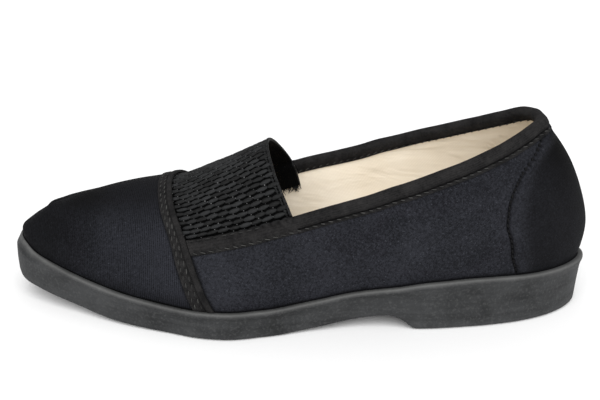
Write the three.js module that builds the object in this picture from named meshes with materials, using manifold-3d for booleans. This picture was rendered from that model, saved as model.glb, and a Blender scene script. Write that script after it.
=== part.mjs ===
// Canvas slip-on shoe with an elastic gore, for the left foot, standing empty on its moulded sole.
// Millimetres. +X points to the heel, +Z up, and -Y is the outer (lateral) side.
// The origin is on the floor under the middle of the shoe's box.
import * as THREE from "three";
import { mergeVertices } from "three/addons/utils/BufferGeometryUtils.js";
import Module from "manifold-3d";

const wasm = await Module();
wasm.setup();

// Sole
const length = 255; // heel to toe, over the rim
const ballWidth = 88; // across the ball, over the rim
const forefootHeight = 13; // rim above the floor at the ball
const heelHeight = 23.4; // rim above the floor at the heel
const toeRimRise = 15.8; // rim at the toe tip, above the rim at the ball
const toeSpring = 9; // underside at the toe tip, above the floor
const archRise = 5.9; // underside in front of the heel, above the floor
const draft = 1.2; // how far the underside's edge lies inside the rim
const soleEdge = 1.6; // rounding between the sole's side and its underside
const rimWidth = 1.8; // flat lip round the upper
const rimBead = 0.5; // how far the rim's bead stands out of the side
const rimBeadHeight = 2.2;
const toeRound = 1.4; // extra rounding of the rim's outer edge at the toe
const toeBulge = 1.3; // how far the sole's side bulges at the toe tip
const rimDepth = 4; // from the rim's top down to the footbed

// Upper
const backHeight = 63; // top of the collar at the heel, above the rim
const instepHeight = 58.6; // top of the throat, above the rim
const wall = 2; // canvas and lining together
const counterStep = 0.5; // how far the stiffened heel counter stands out
const counterBlend = 3; // width of that step

// Gore, tapes and insole
const goreThickness = 1.7;
const goreRecess = 0.4; // gore's face below the upper's surface
const goreTuck = 11; // how far the gore's raw end hangs inside, below the upper's edge
const goreRise = 3.5; // distance over which the gore climbs out from behind the upper's edge
const selvedge = 0.6; // extra thickness of the gore's folded back edge
const selvedgeWidth = 2.6;
const tapeThickness = 0.9;
const tapeFoot = 0.9; // vamp tape's end above the rim
const tapeRoll = 1.15; // width of the vamp tape's rolled back edge
const rollThickness = 0.6; // extra thickness of a tape's rolled edge
const bindingDown = 5.4; // how far the binding reaches below the upper's edge, on both sides
const bindingRise = 1.2; // binding's top above the upper's edge
const rollDown = 1.5; // how far the binding's full roll reaches below the upper's edge
const rollEnd = 3.4; // where the roll has flattened, below the upper's edge
const hemThinning = 0.3; // how much thinner the binding is along its lower edge
const insoleThickness = 3;
const insoleClearance = 0.9; // between the insole and the upper's inner face
const gap = 0.3; // between pieces that touch

// The plan of the rim: half widths, as shares of the ball's width, along the length from the heel.
const OUTLINE = [
  { at: 0, lateral: -0.03, medial: 0.03 },
  { at: 0.016, lateral: 0.088, medial: 0.152 },
  { at: 0.043, lateral: 0.168, medial: 0.228 },
  { at: 0.082, lateral: 0.242, medial: 0.282 },
  { at: 0.141, lateral: 0.309, medial: 0.325 },
  { at: 0.219, lateral: 0.357, medial: 0.347 },
  { at: 0.305, lateral: 0.383, medial: 0.343 },
  { at: 0.391, lateral: 0.376, medial: 0.332 },
  { at: 0.48, lateral: 0.416, medial: 0.362 },
  { at: 0.559, lateral: 0.477, medial: 0.428 },
  { at: 0.621, lateral: 0.511, medial: 0.472 },
  { at: 0.664, lateral: 0.498, medial: 0.485 },
  { at: 0.719, lateral: 0.448, medial: 0.479 },
  { at: 0.793, lateral: 0.379, medial: 0.44 },
  { at: 0.883, lateral: 0.261, medial: 0.345 },
  { at: 0.945, lateral: 0.164, medial: 0.25 },
  { at: 0.98, lateral: 0.084, medial: 0.168 },
  { at: 1, lateral: -0.04, medial: 0.04 },
];

// The sole's underside: shares of the arch rise and of the toe spring.
const UNDERSIDE = [
  { at: 0, arch: 0, toe: 0 },
  { at: 0.308, arch: 0, toe: 0 },
  { at: 0.328, arch: 0.56, toe: 0 },
  { at: 0.342, arch: 0.88, toe: 0 },
  { at: 0.359, arch: 1, toe: 0 },
  { at: 0.383, arch: 0.9, toe: 0 },
  { at: 0.422, arch: 0.62, toe: 0 },
  { at: 0.461, arch: 0.34, toe: 0 },
  { at: 0.5, arch: 0.13, toe: 0 },
  { at: 0.539, arch: 0, toe: 0 },
  { at: 0.68, arch: 0, toe: 0 },
  { at: 0.734, arch: 0, toe: 0.016 },
  { at: 0.813, arch: 0, toe: 0.115 },
  { at: 0.891, arch: 0, toe: 0.44 },
  { at: 0.969, arch: 0, toe: 0.86 },
  { at: 1, arch: 0, toe: 1 },
];

// The rim's top: shares of the heel's extra height and of the toe's.
const RIM = [
  { at: 0, heel: 0.935, toe: 0 },
  { at: 0.04, heel: 0.94, toe: 0 },
  { at: 0.09, heel: 0.94, toe: 0 },
  { at: 0.2, heel: 1, toe: 0 },
  { at: 0.29, heel: 0.88, toe: 0 },
  { at: 0.344, heel: 0.655, toe: 0 },
  { at: 0.422, heel: 0.39, toe: 0 },
  { at: 0.5, heel: 0.115, toe: 0 },
  { at: 0.56, heel: 0, toe: 0 },
  { at: 0.69, heel: 0, toe: 0 },
  { at: 0.77, heel: 0, toe: 0.09 },
  { at: 0.85, heel: 0, toe: 0.275 },
  { at: 0.93, heel: 0, toe: 0.56 },
  { at: 0.965, heel: 0, toe: 0.71 },
  { at: 0.985, heel: 0, toe: 0.88 },
  { at: 1, heel: 0, toe: 1 },
];

// Sections of the last, each starting on the rim at a share of the length from the heel.
// belly and swell: how far the lower and the upper wall bulge, as shares of the ball's width.
// lean and ridgeLean: how far forward the edge line and the ridge lie, as shares of the length.
// edge: half width at the edge line, as a share of the ball's width.
// edgeUp: height of the edge line over the rim, as a share of the back height.
// ridgeUp: height of the ridge over the rim, as a share of the instep height.
// Behind the throat there is no ridge, and its values only steer the wall's upper end.
const SECTIONS = [
  { at: 0, belly: 0.01, swell: 0.053, lean: 0.102, edge: 0, edgeUp: 1.015, ridgeLean: 0.18, ridgeUp: 1.378 },
  { at: 0.02, belly: 0.011, swell: 0.05, lean: 0.094, edge: 0.124, edgeUp: 0.999, ridgeLean: 0.176, ridgeUp: 1.37 },
  { at: 0.051, belly: 0.012, swell: 0.047, lean: 0.098, edge: 0.195, edgeUp: 0.938, ridgeLean: 0.17, ridgeUp: 1.358 },
  { at: 0.109, belly: 0.016, swell: 0.038, lean: 0.088, edge: 0.262, edgeUp: 0.86, ridgeLean: 0.155, ridgeUp: 1.33 },
  { at: 0.188, belly: 0.021, swell: 0.026, lean: 0.0775, edge: 0.324, edgeUp: 0.755, ridgeLean: 0.14, ridgeUp: 1.27 },
  { at: 0.285, belly: 0.023, swell: 0.018, lean: 0.0625, edge: 0.368, edgeUp: 0.667, ridgeLean: 0.12, ridgeUp: 1.21 },
  { at: 0.383, belly: 0.024, swell: 0.016, lean: 0.051, edge: 0.387, edgeUp: 0.617, ridgeLean: 0.1, ridgeUp: 1.13 },
  { at: 0.469, belly: 0.022, swell: 0.013, lean: 0.0437, edge: 0.403, edgeUp: 0.573, ridgeLean: 0.09, ridgeUp: 1.002 },
  { at: 0.555, belly: 0.017, swell: 0.012, lean: 0.043, edge: 0.402, edgeUp: 0.51, ridgeLean: 0.084, ridgeUp: 0.872 },
  { at: 0.641, belly: 0.01, swell: 0.01, lean: 0.044, edge: 0.396, edgeUp: 0.44, ridgeLean: 0.08, ridgeUp: 0.737 },
  { at: 0.676, belly: 0.008, swell: 0.009, lean: 0.036, edge: 0.385, edgeUp: 0.422, ridgeLean: 0.07, ridgeUp: 0.723 },
  { at: 0.773, belly: 0.004, swell: 0.008, lean: 0.018, edge: 0.317, edgeUp: 0.335, ridgeLean: 0.039, ridgeUp: 0.642 },
  { at: 0.871, belly: 0, swell: 0.01, lean: 0.003, edge: 0.22, edgeUp: 0.275, ridgeLean: 0, ridgeUp: 0.503 },
  { at: 0.93, belly: 0, swell: 0.012, lean: -0.0126, edge: 0.1464, edgeUp: 0.2521, ridgeLean: -0.0268, ridgeUp: 0.4028 },
  { at: 0.965, belly: 0, swell: 0.012, lean: -0.0261, edge: 0.09, edgeUp: 0.2335, ridgeLean: -0.0496, ridgeUp: 0.3418 },
  { at: 0.985, belly: 0, swell: 0.012, lean: -0.0341, edge: 0.0531, edgeUp: 0.202, ridgeLean: -0.0603, ridgeUp: 0.2849 },
  { at: 1, belly: 0, swell: 0.01, lean: -0.044, edge: 0, edgeUp: 0.174, ridgeLean: -0.066, ridgeUp: 0.233 },
];
const bellyUp = 0.27; // height of the belly line between the rim and the edge line
const swellUp = 0.55; // height of the swell line between the belly and the edge line
const shoulder = 0.6; // half width of the shoulder line, as a share of the edge line's
const shoulderUp = 0.69; // height of the shoulder line between the edge line and the ridge
const toeShoulderUp = 0.74; // the same at the toe

// Columns of the last that the pieces' ends follow, as shares of the length from the heel.
const throatAt = 0.469;
const tapeBackAt = 0.641;
const vampEdgeAt = 0.65;
const tapeFrontAt = 0.676;

// The counter's seam: the column that it follows at each share of the wall's height.
const COUNTER = [
  { up: 0, at: 0.14 },
  { up: 0.28, at: 0.157 },
  { up: 0.46, at: 0.154 },
  { up: 0.6, at: 0.1355 },
  { up: 0.71, at: 0.1125 },
  { up: 0.8, at: 0.082 },
  { up: 0.86, at: 0.0485 },
  { up: 0.915, at: 0.0295 },
  { up: 0.97, at: 0.0095 },
  { up: 1, at: 0.004 },
];

// How finely the pieces are cut into facets
const loopSteps = 46;
const breastStations = [0.3, 0.308, 0.313, 0.32, 0.328, 0.335, 0.342, 0.35];
const lowerRows = 4;
const archRows = 4;
const slopeStep = 0.002; // for the slopes that give the normals

// A smooth curve through a table's rows that doesn't overshoot them.
function through(rows, across, value, along = (x) => x) {
  const xs = rows.map((row) => along(row[across]));
  const ys = rows.map((row) => row[value]);
  const rates = xs.slice(1).map((x, i) => (ys[i + 1] - ys[i]) / (x - xs[i]));
  const slopes = xs.map((_, i) => {
    if (i === 0) return rates[0];
    if (i === xs.length - 1) return rates[i - 1];
    const [before, after] = [rates[i - 1], rates[i]];
    return before * after <= 0 ? 0 : (2 * before * after) / (before + after);
  });
  return (position) => {
    const x = THREE.MathUtils.clamp(along(position), xs[0], xs[xs.length - 1]);
    let i = 0;
    while (i < xs.length - 2 && x > xs[i + 1]) i += 1;
    const span = xs[i + 1] - xs[i];
    const t = (x - xs[i]) / span;
    const rest = 1 - t;
    return (
      ys[i] * rest * rest * (1 + 2 * t) +
      ys[i + 1] * t * t * (3 - 2 * t) +
      span * (slopes[i] * t * rest * rest - slopes[i + 1] * t * t * rest)
    );
  };
}

// A place round the shoe is an angle: 0 at the heel, -PI and PI at the toe, negative on the lateral side.
const angleOf = (at) => Math.acos(1 - 2 * at);
const shareOf = (angle) => (1 - Math.cos(angle)) / 2;

function reader(rows, keys) {
  const curves = keys.map((key) => [key, through(rows, "at", key, angleOf)]);
  return (at) => Object.fromEntries(curves.map(([key, curve]) => [key, curve(at)]));
}
const outlineAt = reader(OUTLINE, ["lateral", "medial"]);
const undersideAt = reader(UNDERSIDE, ["arch", "toe"]);
const rimAt = reader(RIM, ["heel", "toe"]);
const sectionKeys = ["belly", "swell", "lean", "edge", "edgeUp", "ridgeLean", "ridgeUp"];
const sectionAt = reader(SECTIONS, sectionKeys);
const counterAt = through(COUNTER, "up", "at");

const atToe = (at) => THREE.MathUtils.smoothstep(at, 0.88, 1);

function undersideHeight(at) {
  const { arch, toe } = undersideAt(at);
  return arch * archRise + toe * toeSpring;
}
function rimHeight(at) {
  const { heel, toe } = rimAt(at);
  return forefootHeight + heel * (heelHeight - forefootHeight) + toe * toeRimRise;
}

// The rim's plan, and the same moved outwards by a distance.
function rimPoint(angle) {
  const at = shareOf(angle);
  const { lateral, medial } = outlineAt(at);
  const y = angle < 0 ? -lateral : medial;
  return new THREE.Vector2(length * (0.5 - at), y * ballWidth);
}
function planNormal(angle) {
  if (angle === 0) return new THREE.Vector2(1, 0);
  if (Math.abs(angle) > Math.PI - slopeStep) return new THREE.Vector2(-1, 0);
  const step = rimPoint(angle + slopeStep).sub(rimPoint(angle - slopeStep));
  return new THREE.Vector2(step.y, -step.x).normalize();
}
function planPoint(angle, outwards) {
  return rimPoint(angle).addScaledVector(planNormal(angle), outwards);
}

// The section of the last that starts on the rim at a share of the length: a curve over the foot.
const sections = new Map();
function sectionCurve(at) {
  if (sections.has(at)) return sections.get(at);
  const shape = sectionAt(at);
  const base = rimHeight(at);
  const half = (side) => planPoint(side * angleOf(at), -rimWidth - gap);
  const [lateral, medial] = [half(-1), half(1)];
  const front = THREE.MathUtils.smoothstep(at, 0.45, 0.7);
  const straight = THREE.MathUtils.smoothstep(at, 0.1, 0.5) - THREE.MathUtils.smoothstep(at, 0.7, 0.9);
  const centre = ((lateral.y + medial.y) / 2) * front;
  const x = (lateral.x + medial.x) / 2;
  const edgeHeight = shape.edgeUp * backHeight;
  const ridge = new THREE.Vector3(x - shape.ridgeLean * length, centre, base + shape.ridgeUp * instepHeight);
  const lines = [-1, 1].map((side) => {
    const plan = side < 0 ? lateral : medial;
    const out = planNormal(side * angleOf(at));
    const foot = new THREE.Vector3(plan.x, plan.y, base);
    const outwards = new THREE.Vector3(out.x, out.y, 0).multiplyScalar(ballWidth);
    const belly = foot.clone().addScaledVector(outwards, shape.belly);
    belly.x -= bellyUp * shape.lean * length * straight;
    belly.z += bellyUp * edgeHeight;
    const edge = new THREE.Vector3(
      plan.x - shape.lean * length,
      centre + side * shape.edge * ballWidth,
      base + edgeHeight,
    );
    const swell = belly.clone().lerp(edge, swellUp).addScaledVector(outwards, shape.swell);
    const round = THREE.MathUtils.smoothstep(at, 0.75, 0.95);
    const top = edge.clone().lerp(ridge, THREE.MathUtils.lerp(shoulderUp, 1 - shoulder, round));
    top.y = centre + side * shoulder * shape.edge * ballWidth;
    top.z = THREE.MathUtils.lerp(edge.z, ridge.z, THREE.MathUtils.lerp(shoulderUp, toeShoulderUp, round));
    return [foot, belly, swell, edge, top];
  });
  const points = [...lines[0], ridge, ...lines[1].reverse()];
  const curve = new THREE.CatmullRomCurve3(points, false, "centripetal");
  sections.set(at, curve);
  return curve;
}

// The last's surface: up is -1 on the footbed, 0 at the rim, 1 at the edge line and 2 at the ridge.
function lastPoint(angle, up) {
  const at = shareOf(angle);
  const share = up <= 1 ? Math.max(up, 0) * 0.3 : 0.3 + (up - 1) * 0.2;
  const point = sectionCurve(at).getPoint(angle < 0 ? share : 1 - share);
  if (up < 0) point.z += up * (rimDepth - gap);
  return point;
}
function ridgeNormal(at) {
  const ridge = (share) => sectionCurve(THREE.MathUtils.clamp(share, 0, 1)).getPoint(0.5);
  const along = ridge(at - 0.03).sub(ridge(at + 0.03));
  return new THREE.Vector3(-along.z, 0, along.x).normalize();
}
function lastNormal(angle, up) {
  if (up > 1.999) return ridgeNormal(shareOf(angle));
  const limit = Math.PI - slopeStep;
  const here = THREE.MathUtils.clamp(angle, -limit, limit);
  const level = Math.max(up, slopeStep);
  const slope = (spot) => {
    const round = lastPoint(spot + slopeStep, level).sub(lastPoint(spot - slopeStep, level));
    const rise = lastPoint(spot, level + slopeStep).sub(lastPoint(spot, level - slopeStep));
    return round.cross(rise).normalize();
  };
  const normal = slope(here);
  if (Math.abs(angle) > limit) normal.add(slope(-here)).setY(0);
  if (up < 0) normal.setZ(0);
  return normal.normalize();
}
// The counter's step: a little more outwards behind the seam, and none below the rim.
function counterOut(angle, up) {
  const level = THREE.MathUtils.clamp(up, 0, 1);
  const behind = (counterAt(level) - shareOf(angle)) * length;
  const above = THREE.MathUtils.smoothstep(up, 0, 0.1);
  return counterStep * above * THREE.MathUtils.smoothstep(behind, -counterBlend / 2, counterBlend / 2);
}
function skinPoint(angle, up, outwards) {
  const out = outwards + counterOut(angle, up);
  return lastPoint(angle, up).addScaledVector(lastNormal(angle, up), out);
}

// How much a step of 1 in up measures along the wall, in millimetres.
function wallLength(angle) {
  const steps = 8;
  let total = 0;
  for (let i = 0; i < steps; i += 1) {
    total += lastPoint(angle, (i + 1) / steps).distanceTo(lastPoint(angle, i / steps));
  }
  return total;
}

const steps = (from, to, count) =>
  Array.from({ length: count + 1 }, (_, i) => from + ((to - from) * i) / count);

// Columns that all pieces share: shares of the length from heel to toe, spaced as equal angles.
const selvedgeAt = throatAt + selvedgeWidth / length;
const named = [throatAt, selvedgeAt, tapeBackAt, vampEdgeAt, tapeFrontAt];
const columns = [
  ...steps(0, Math.PI, loopSteps)
    .map(shareOf)
    .filter((at) => named.every((other) => Math.abs(other - at) > 0.004)),
  ...named,
].sort((p, q) => p - q);

// Rows that the wall, its tape and its binding share, from the rim up to the edge line.
function wallLevels(angle) {
  const long = wallLength(angle);
  const shrink = Math.min(1, (0.7 * long) / goreTuck);
  const [tuck, middle, hem] = [goreTuck, (goreTuck + bindingDown) / 2, bindingDown].map(
    (mm) => 1 - (mm * shrink) / long,
  );
  return [...steps(0, tuck, lowerRows), middle, hem, 1];
}
const roundTheShoe = (list) => [
  ...list.map((at) => -angleOf(at)).reverse(),
  ...list.slice(1).map((at) => angleOf(at)),
];

// Faces between neighbouring rows of points.
function quads(rows, closed) {
  const faces = [];
  for (let i = 0; i + 1 < rows.length; i += 1) {
    const n = rows[i].length;
    for (let j = 0; j < (closed ? n : n - 1); j += 1) {
      const k = (j + 1) % n;
      const [a, b, c, d] = [rows[i][j], rows[i][k], rows[i + 1][k], rows[i + 1][j]];
      faces.push([a, b, c], [a, c, d]);
    }
  }
  return faces;
}
const turned = (faces) => faces.map(([a, b, c]) => [a, c, b]);

function geometryOf(faces) {
  const positions = new Float32Array(faces.flat().flatMap((p) => [p.x, p.y, p.z]));
  const geometry = new THREE.BufferGeometry();
  geometry.setAttribute("position", new THREE.BufferAttribute(positions, 3));
  return mergeVertices(geometry, 1e-3);
}

// A closed solid from its faces: welded, without empty faces, and facing outwards.
function solidOf(faces) {
  const welded = geometryOf(faces);
  const index = [];
  for (let i = 0; i < welded.index.count; i += 3) {
    const [a, b, c] = [0, 1, 2].map((k) => welded.index.getX(i + k));
    if (a !== b && b !== c && c !== a) index.push(a, b, c);
  }
  const build = (triVerts) =>
    new wasm.Manifold(
      new wasm.Mesh({ numProp: 3, vertProperties: welded.attributes.position.array, triVerts }),
    );
  const solid = build(new Uint32Array(index));
  if (solid.volume() > 0) return solid;
  for (let i = 0; i < index.length; i += 3) [index[i], index[i + 1]] = [index[i + 1], index[i]];
  return build(new Uint32Array(index));
}

function meshOf(name, solid, material) {
  const { vertProperties, triVerts, numProp } = solid.getMesh();
  const positions = new Float32Array((vertProperties.length / numProp) * 3);
  for (let i = 0; i < positions.length / 3; i += 1) {
    for (let k = 0; k < 3; k += 1) positions[3 * i + k] = vertProperties[numProp * i + k];
  }
  const geometry = new THREE.BufferGeometry();
  geometry.setAttribute("position", new THREE.BufferAttribute(positions, 3));
  geometry.setIndex(new THREE.BufferAttribute(new Uint32Array(triVerts), 1));
  geometry.computeVertexNormals();
  const mesh = new THREE.Mesh(geometry, material);
  mesh.name = name;
  return mesh;
}

// A solid between closed loops round the shoe: the first and the last loop are closed by strips
// across the shoe. Each ring has its distance outside the rim and its height at a share of the length.
function loopSolid(list, rings) {
  const angles = roundTheShoe(list).slice(1);
  const loops = rings.map(({ outwards, height }) =>
    angles.map((angle) => {
      const at = shareOf(angle);
      const plan = planPoint(angle, outwards(at));
      return new THREE.Vector3(plan.x, plan.y, height(at));
    }),
  );
  const across = (loop) => {
    const n = loop.length;
    const faces = [];
    for (let i = 0; i < n / 2 - 1; i += 1) {
      const [a, b] = [loop[i], loop[i + 1]];
      const [c, d] = [loop[n - 2 - i], loop[n - 3 - i]];
      if (i === 0) faces.push([loop[n - 1], a, c]);
      if (b !== d) faces.push([a, b, d]);
      faces.push([a, d, c]);
    }
    return faces;
  };
  const faces = [
    ...quads(loops, true),
    ...turned(across(loops[0])),
    ...across(loops[loops.length - 1]),
  ];
  return solidOf(faces);
}

// A solid skin over part of the last. Its sheets give the outer and the inner face as rows of points.
function skinSolid(outer, inner) {
  const last = outer.length - 1;
  const ends = [
    [outer[0], inner[0]],
    [inner[last], outer[last]],
    [inner.map((row) => row[0]), outer.map((row) => row[0])],
    [outer.map((row) => row.at(-1)), inner.map((row) => row.at(-1))],
  ];
  return solidOf([
    ...quads(outer, false),
    ...turned(quads(inner, false)),
    ...turned(ends.flatMap((end) => quads(end, false))),
  ]);
}

const loopStations = [...columns, ...breastStations].sort((p, q) => p - q);

// Outsole: one moulding with heel, arch, toe spring, a beaded rim and a sunken footbed.
function outsole() {
  const side = (share) => (at) => THREE.MathUtils.lerp(undersideHeight(at), rimHeight(at), share);
  const over = (height) => (at) => undersideHeight(at) + height;
  const under = (depth, toeDepth = 0) => (at) => rimHeight(at) - depth - toeDepth * atToe(at);
  const inside = (distance, toeDistance) => (at) => -THREE.MathUtils.lerp(distance, toeDistance, atToe(at));
  return loopSolid(loopStations, [
    { outwards: inside(draft + soleEdge, soleEdge - toeBulge / 2), height: undersideHeight },
    { outwards: inside(draft + 0.3 * soleEdge, 0.3 * soleEdge - toeBulge / 2), height: over(0.3 * soleEdge) },
    { outwards: inside(draft, -toeBulge / 2), height: over(soleEdge) },
    { outwards: inside(0.4 * draft, -toeBulge), height: side(0.55) },
    { outwards: inside(0, -toeBulge / 2), height: under(rimBeadHeight + rimBead, toeRound) },
    { outwards: inside(-rimBead, -toeBulge / 4), height: under(rimBeadHeight - rimBead, toeRound) },
    { outwards: inside(-rimBead, toeBulge / 4), height: under(rimBead, toeRound) },
    { outwards: inside(0, toeRound), height: under(0) },
    { outwards: () => -rimWidth, height: under(0) },
    { outwards: () => -rimWidth, height: under(rimDepth) },
  ]);
}

function insole() {
  const edge = -rimWidth - gap - wall - insoleClearance;
  const over = (height) => (at) => rimHeight(at) - rimDepth + gap + height;
  const bevel = 0.6;
  return loopSolid(loopStations, [
    { outwards: () => edge, height: over(0) },
    { outwards: () => edge, height: over(insoleThickness - bevel) },
    { outwards: () => edge - bevel, height: over(insoleThickness) },
  ]);
}

// Upper: one hollow wall. Behind the vamp's edge it stops at the edge line, and in front it closes over
// the ridge. Both sheets are rows round the shoe, and the vamp's arch is joined to its wall.
function upper() {
  const angles = roundTheShoe(columns);
  const levels = angles.map((angle) => [-1, ...wallLevels(angle)]);
  const top = levels[0].length - 1;
  const sheet = (outwards) => {
    const rows = levels[0].map((_, k) => angles.map((angle, i) => skinPoint(angle, levels[i][k], outwards)));
    const vamp = columns.filter((at) => at >= vampEdgeAt).reverse();
    const arch = vamp.map((at) => {
      const half = (side) => steps(1, 2, archRows).map((up) => skinPoint(side * angleOf(at), up, outwards));
      const [lateral, medial] = [half(-1), half(1)];
      return [...lateral, ...medial.reverse().slice(1)];
    });
    return { rows, arch };
  };
  const [outer, inner] = [sheet(0), sheet(-wall)];
  const first = angles.findIndex((angle) => Math.abs(Math.abs(angle) - angleOf(vampEdgeAt)) < 1e-9);
  const edge = (sides) => sides.slice(first, angles.length - first);
  return solidOf([
    ...quads(outer.rows, false),
    ...quads(inner.arch, false),
    ...turned([...quads(inner.rows, false), ...quads(outer.arch, false)]),
    ...quads([inner.rows[0], outer.rows[0]], false),
    ...quads([edge(outer.rows[top]), edge(inner.rows[top])], false),
    ...quads([inner.arch.at(-1), outer.arch.at(-1)], false),
  ]);
}

// Gore: elastic over the instep, tucked behind the upper's edge on both sides, where its raw ends hang.
function gore() {
  const front = vampEdgeAt - (2 * gap) / length;
  const list = [...columns.filter((at) => at >= throatAt && at <= tapeBackAt), front].reverse();
  const behind = wall + gap;
  const depthAt = (above) => {
    const out = THREE.MathUtils.smoothstep(above, 0.2, goreRise);
    return THREE.MathUtils.lerp(behind, goreRecess, out);
  };
  const bead = (at, above) => (at === throatAt && above === goreRise ? selvedge / 2 : 0);
  const column = (at, side, face) => {
    const angle = side * angleOf(at);
    const long = wallLength(angle);
    const archLong = lastPoint(angle, 1).distanceTo(lastPoint(angle, 2));
    const below = wallLevels(angle).slice(lowerRows).map((up) => [0, up]);
    const climb = [goreRise / 2, goreRise].map((mm) => [mm, 1 + mm / archLong]);
    const over = steps(climb[1][1], 2, archRows).slice(1).map((up) => [goreRise, up]);
    return [...below, ...climb, ...over].map(([mm, up]) => {
      const deep = depthAt(mm) + face * goreThickness + (2 * face - 1) * bead(at, mm);
      return skinPoint(angle, up, -deep);
    });
  };
  const sheet = (face) =>
    list.map((at) => {
      const [lateral, medial] = [-1, 1].map((side) => column(at, side, face));
      return [...lateral, ...medial.reverse().slice(1)];
    });
  return skinSolid(sheet(0), sheet(1));
}

// Vamp tape: covers the seam between vamp, gore and quarters, from sole to sole, with a rolled back edge.
function vampTape() {
  const list = [tapeFrontAt, vampEdgeAt, tapeBackAt + tapeRoll / length, tapeBackAt];
  const roll = [0, 0, 1, 0.6];
  const sheet = (thickness) =>
    list.map((at, i) => {
      const out = gap + (thickness > 0 ? thickness + roll[i] * rollThickness : 0);
      const half = (side) => {
        const angle = side * angleOf(at);
        const low = tapeFoot / wallLength(angle);
        const ups = [low, ...wallLevels(angle).slice(1), ...steps(1, 2, archRows).slice(1)];
        return ups.map((up) => skinPoint(angle, up, out));
      };
      return [...half(-1), ...half(1).reverse().slice(1)];
    });
  return skinSolid(sheet(tapeThickness), sheet(0));
}

// Collar binding: a strip outside the edge line all round, folded over the top edge behind the throat.
function collarBinding() {
  const front = tapeBackAt - (2 * gap) / length;
  const until = (end) => roundTheShoe([...columns.filter((at) => at < end - 0.003), end]);
  const inside = -wall - gap;
  const ring = (angle, profile) => {
    const long = wallLength(angle);
    const lift = lastPoint(angle, 1).sub(lastPoint(angle, 1 - 2 / long)).normalize();
    return profile.map(([below, out]) => {
      const point = skinPoint(angle, 1 - Math.max(below, 0) / long, out);
      return point.addScaledVector(lift, Math.max(-below, 0));
    });
  };
  const outerFace = gap + tapeThickness;
  const strip = [
    [bindingDown, gap],
    [0, gap],
    [-bindingRise, gap],
    [-bindingRise, outerFace],
    [0, outerFace + rollThickness],
    [rollDown, outerFace + rollThickness],
    [rollEnd, outerFace],
    [bindingDown, outerFace - hemThinning],
  ];
  const fold = [
    [-gap, gap + 0.2],
    [-bindingRise + 0.1, outerFace - 0.2],
    [-bindingRise - 0.2, -wall / 2],
    [-bindingRise + 0.3, inside - tapeThickness],
    [0, inside - tapeThickness - rollThickness / 2],
    [bindingDown, inside - tapeThickness],
    [bindingDown, inside],
    [0, inside],
    [-gap, inside],
  ];
  const loft = (angles, profile) => {
    const rings = angles.map((angle) => ring(angle, profile));
    const flatEnd = THREE.ShapeUtils.triangulateShape(profile.map(([x, y]) => new THREE.Vector2(x, y)), []);
    const clockwise = THREE.ShapeUtils.isClockWise(profile.map(([x, y]) => new THREE.Vector2(x, y)));
    const cap = (points) => flatEnd.map((corners) => corners.map((i) => points[i]));
    const ends = [...turned(cap(rings[0])), ...cap(rings.at(-1))];
    return [...quads(rings, true), ...(clockwise ? turned(ends) : ends)];
  };
  const band = solidOf(loft(until(front), strip));
  const hem = solidOf(loft(until(throatAt - gap / length), fold));
  return band.add(hem);
}

const finish = (color, roughness) => new THREE.MeshStandardMaterial({ color, roughness, metalness: 0 });
const canvas = finish(0x1d2027, 0.92);
const tape = finish(0x191a1b, 0.85);
const elastic = finish(0x121314, 0.8);
const rubber = finish(0x3b3d3f, 0.6);
const lining = finish(0xe6dac2, 0.95);

const shoe = new THREE.Group();
shoe.add(
  meshOf("outsole", outsole(), rubber),
  meshOf("insole", insole(), lining),
  meshOf("upper", upper(), canvas),
  meshOf("gore", gore(), elastic),
  meshOf("vamp_tape", vampTape(), tape),
  meshOf("collar_binding", collarBinding(), tape),
);

// The origin goes to the floor under the middle of the shoe's box.
const box = new THREE.Box3().setFromObject(shoe);
const middle = box.getCenter(new THREE.Vector3());
shoe.position.set(-middle.x, -middle.y, -box.min.z);

export default shoe;
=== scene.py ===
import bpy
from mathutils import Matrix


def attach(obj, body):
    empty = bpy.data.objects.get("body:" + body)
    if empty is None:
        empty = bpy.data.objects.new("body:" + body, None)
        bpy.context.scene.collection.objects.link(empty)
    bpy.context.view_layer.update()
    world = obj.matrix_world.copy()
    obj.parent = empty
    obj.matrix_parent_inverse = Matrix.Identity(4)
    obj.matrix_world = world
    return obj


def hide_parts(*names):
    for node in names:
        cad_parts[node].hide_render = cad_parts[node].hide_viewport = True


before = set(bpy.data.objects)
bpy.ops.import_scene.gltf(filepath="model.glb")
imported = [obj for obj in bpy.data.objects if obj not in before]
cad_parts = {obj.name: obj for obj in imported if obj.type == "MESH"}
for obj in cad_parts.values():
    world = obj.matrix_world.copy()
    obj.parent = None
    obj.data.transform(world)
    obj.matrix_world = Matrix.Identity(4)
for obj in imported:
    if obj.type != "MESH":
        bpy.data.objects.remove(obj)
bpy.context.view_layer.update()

import math

import bmesh
import bpy
import numpy as np
from mathutils import Matrix, Vector

# Lengths are in millimetres until a mesh is made.
MM = 0.001
ORIGIN = (0.4, 1.065, 0.0)  # the last's own axes lie this far off the frame's
SEED = 7

# Sole, in the solids' own sizes
length, ball_width = 255.0, 88.0
forefoot_height, heel_height, toe_rim_rise = 13.0, 23.4, 15.8
toe_spring, arch_rise, draft, sole_edge = 9.0, 5.9, 1.2, 1.6
rim_width, rim_bead, rim_bead_height, toe_round, toe_bulge, rim_depth = 1.8, 0.5, 2.2, 1.4, 1.3, 4.0

# Upper, gore, tapes and insole
back_height, instep_height, wall = 63.0, 58.6, 2.0
counter_step, counter_blend = 0.5, 3.0
gore_recess, gore_tuck, gore_rise = 0.4, 11.0, 3.5
stitch_pitch = 3.3
gap = 0.3
throat_at, tape_back_at, vamp_edge_at, tape_front_at = 0.469, 0.641, 0.65, 0.676
belly_up, swell_up, shoulder, shoulder_up, toe_shoulder_up = 0.27, 0.55, 0.6, 0.69, 0.74
slope_step = 0.002

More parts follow.
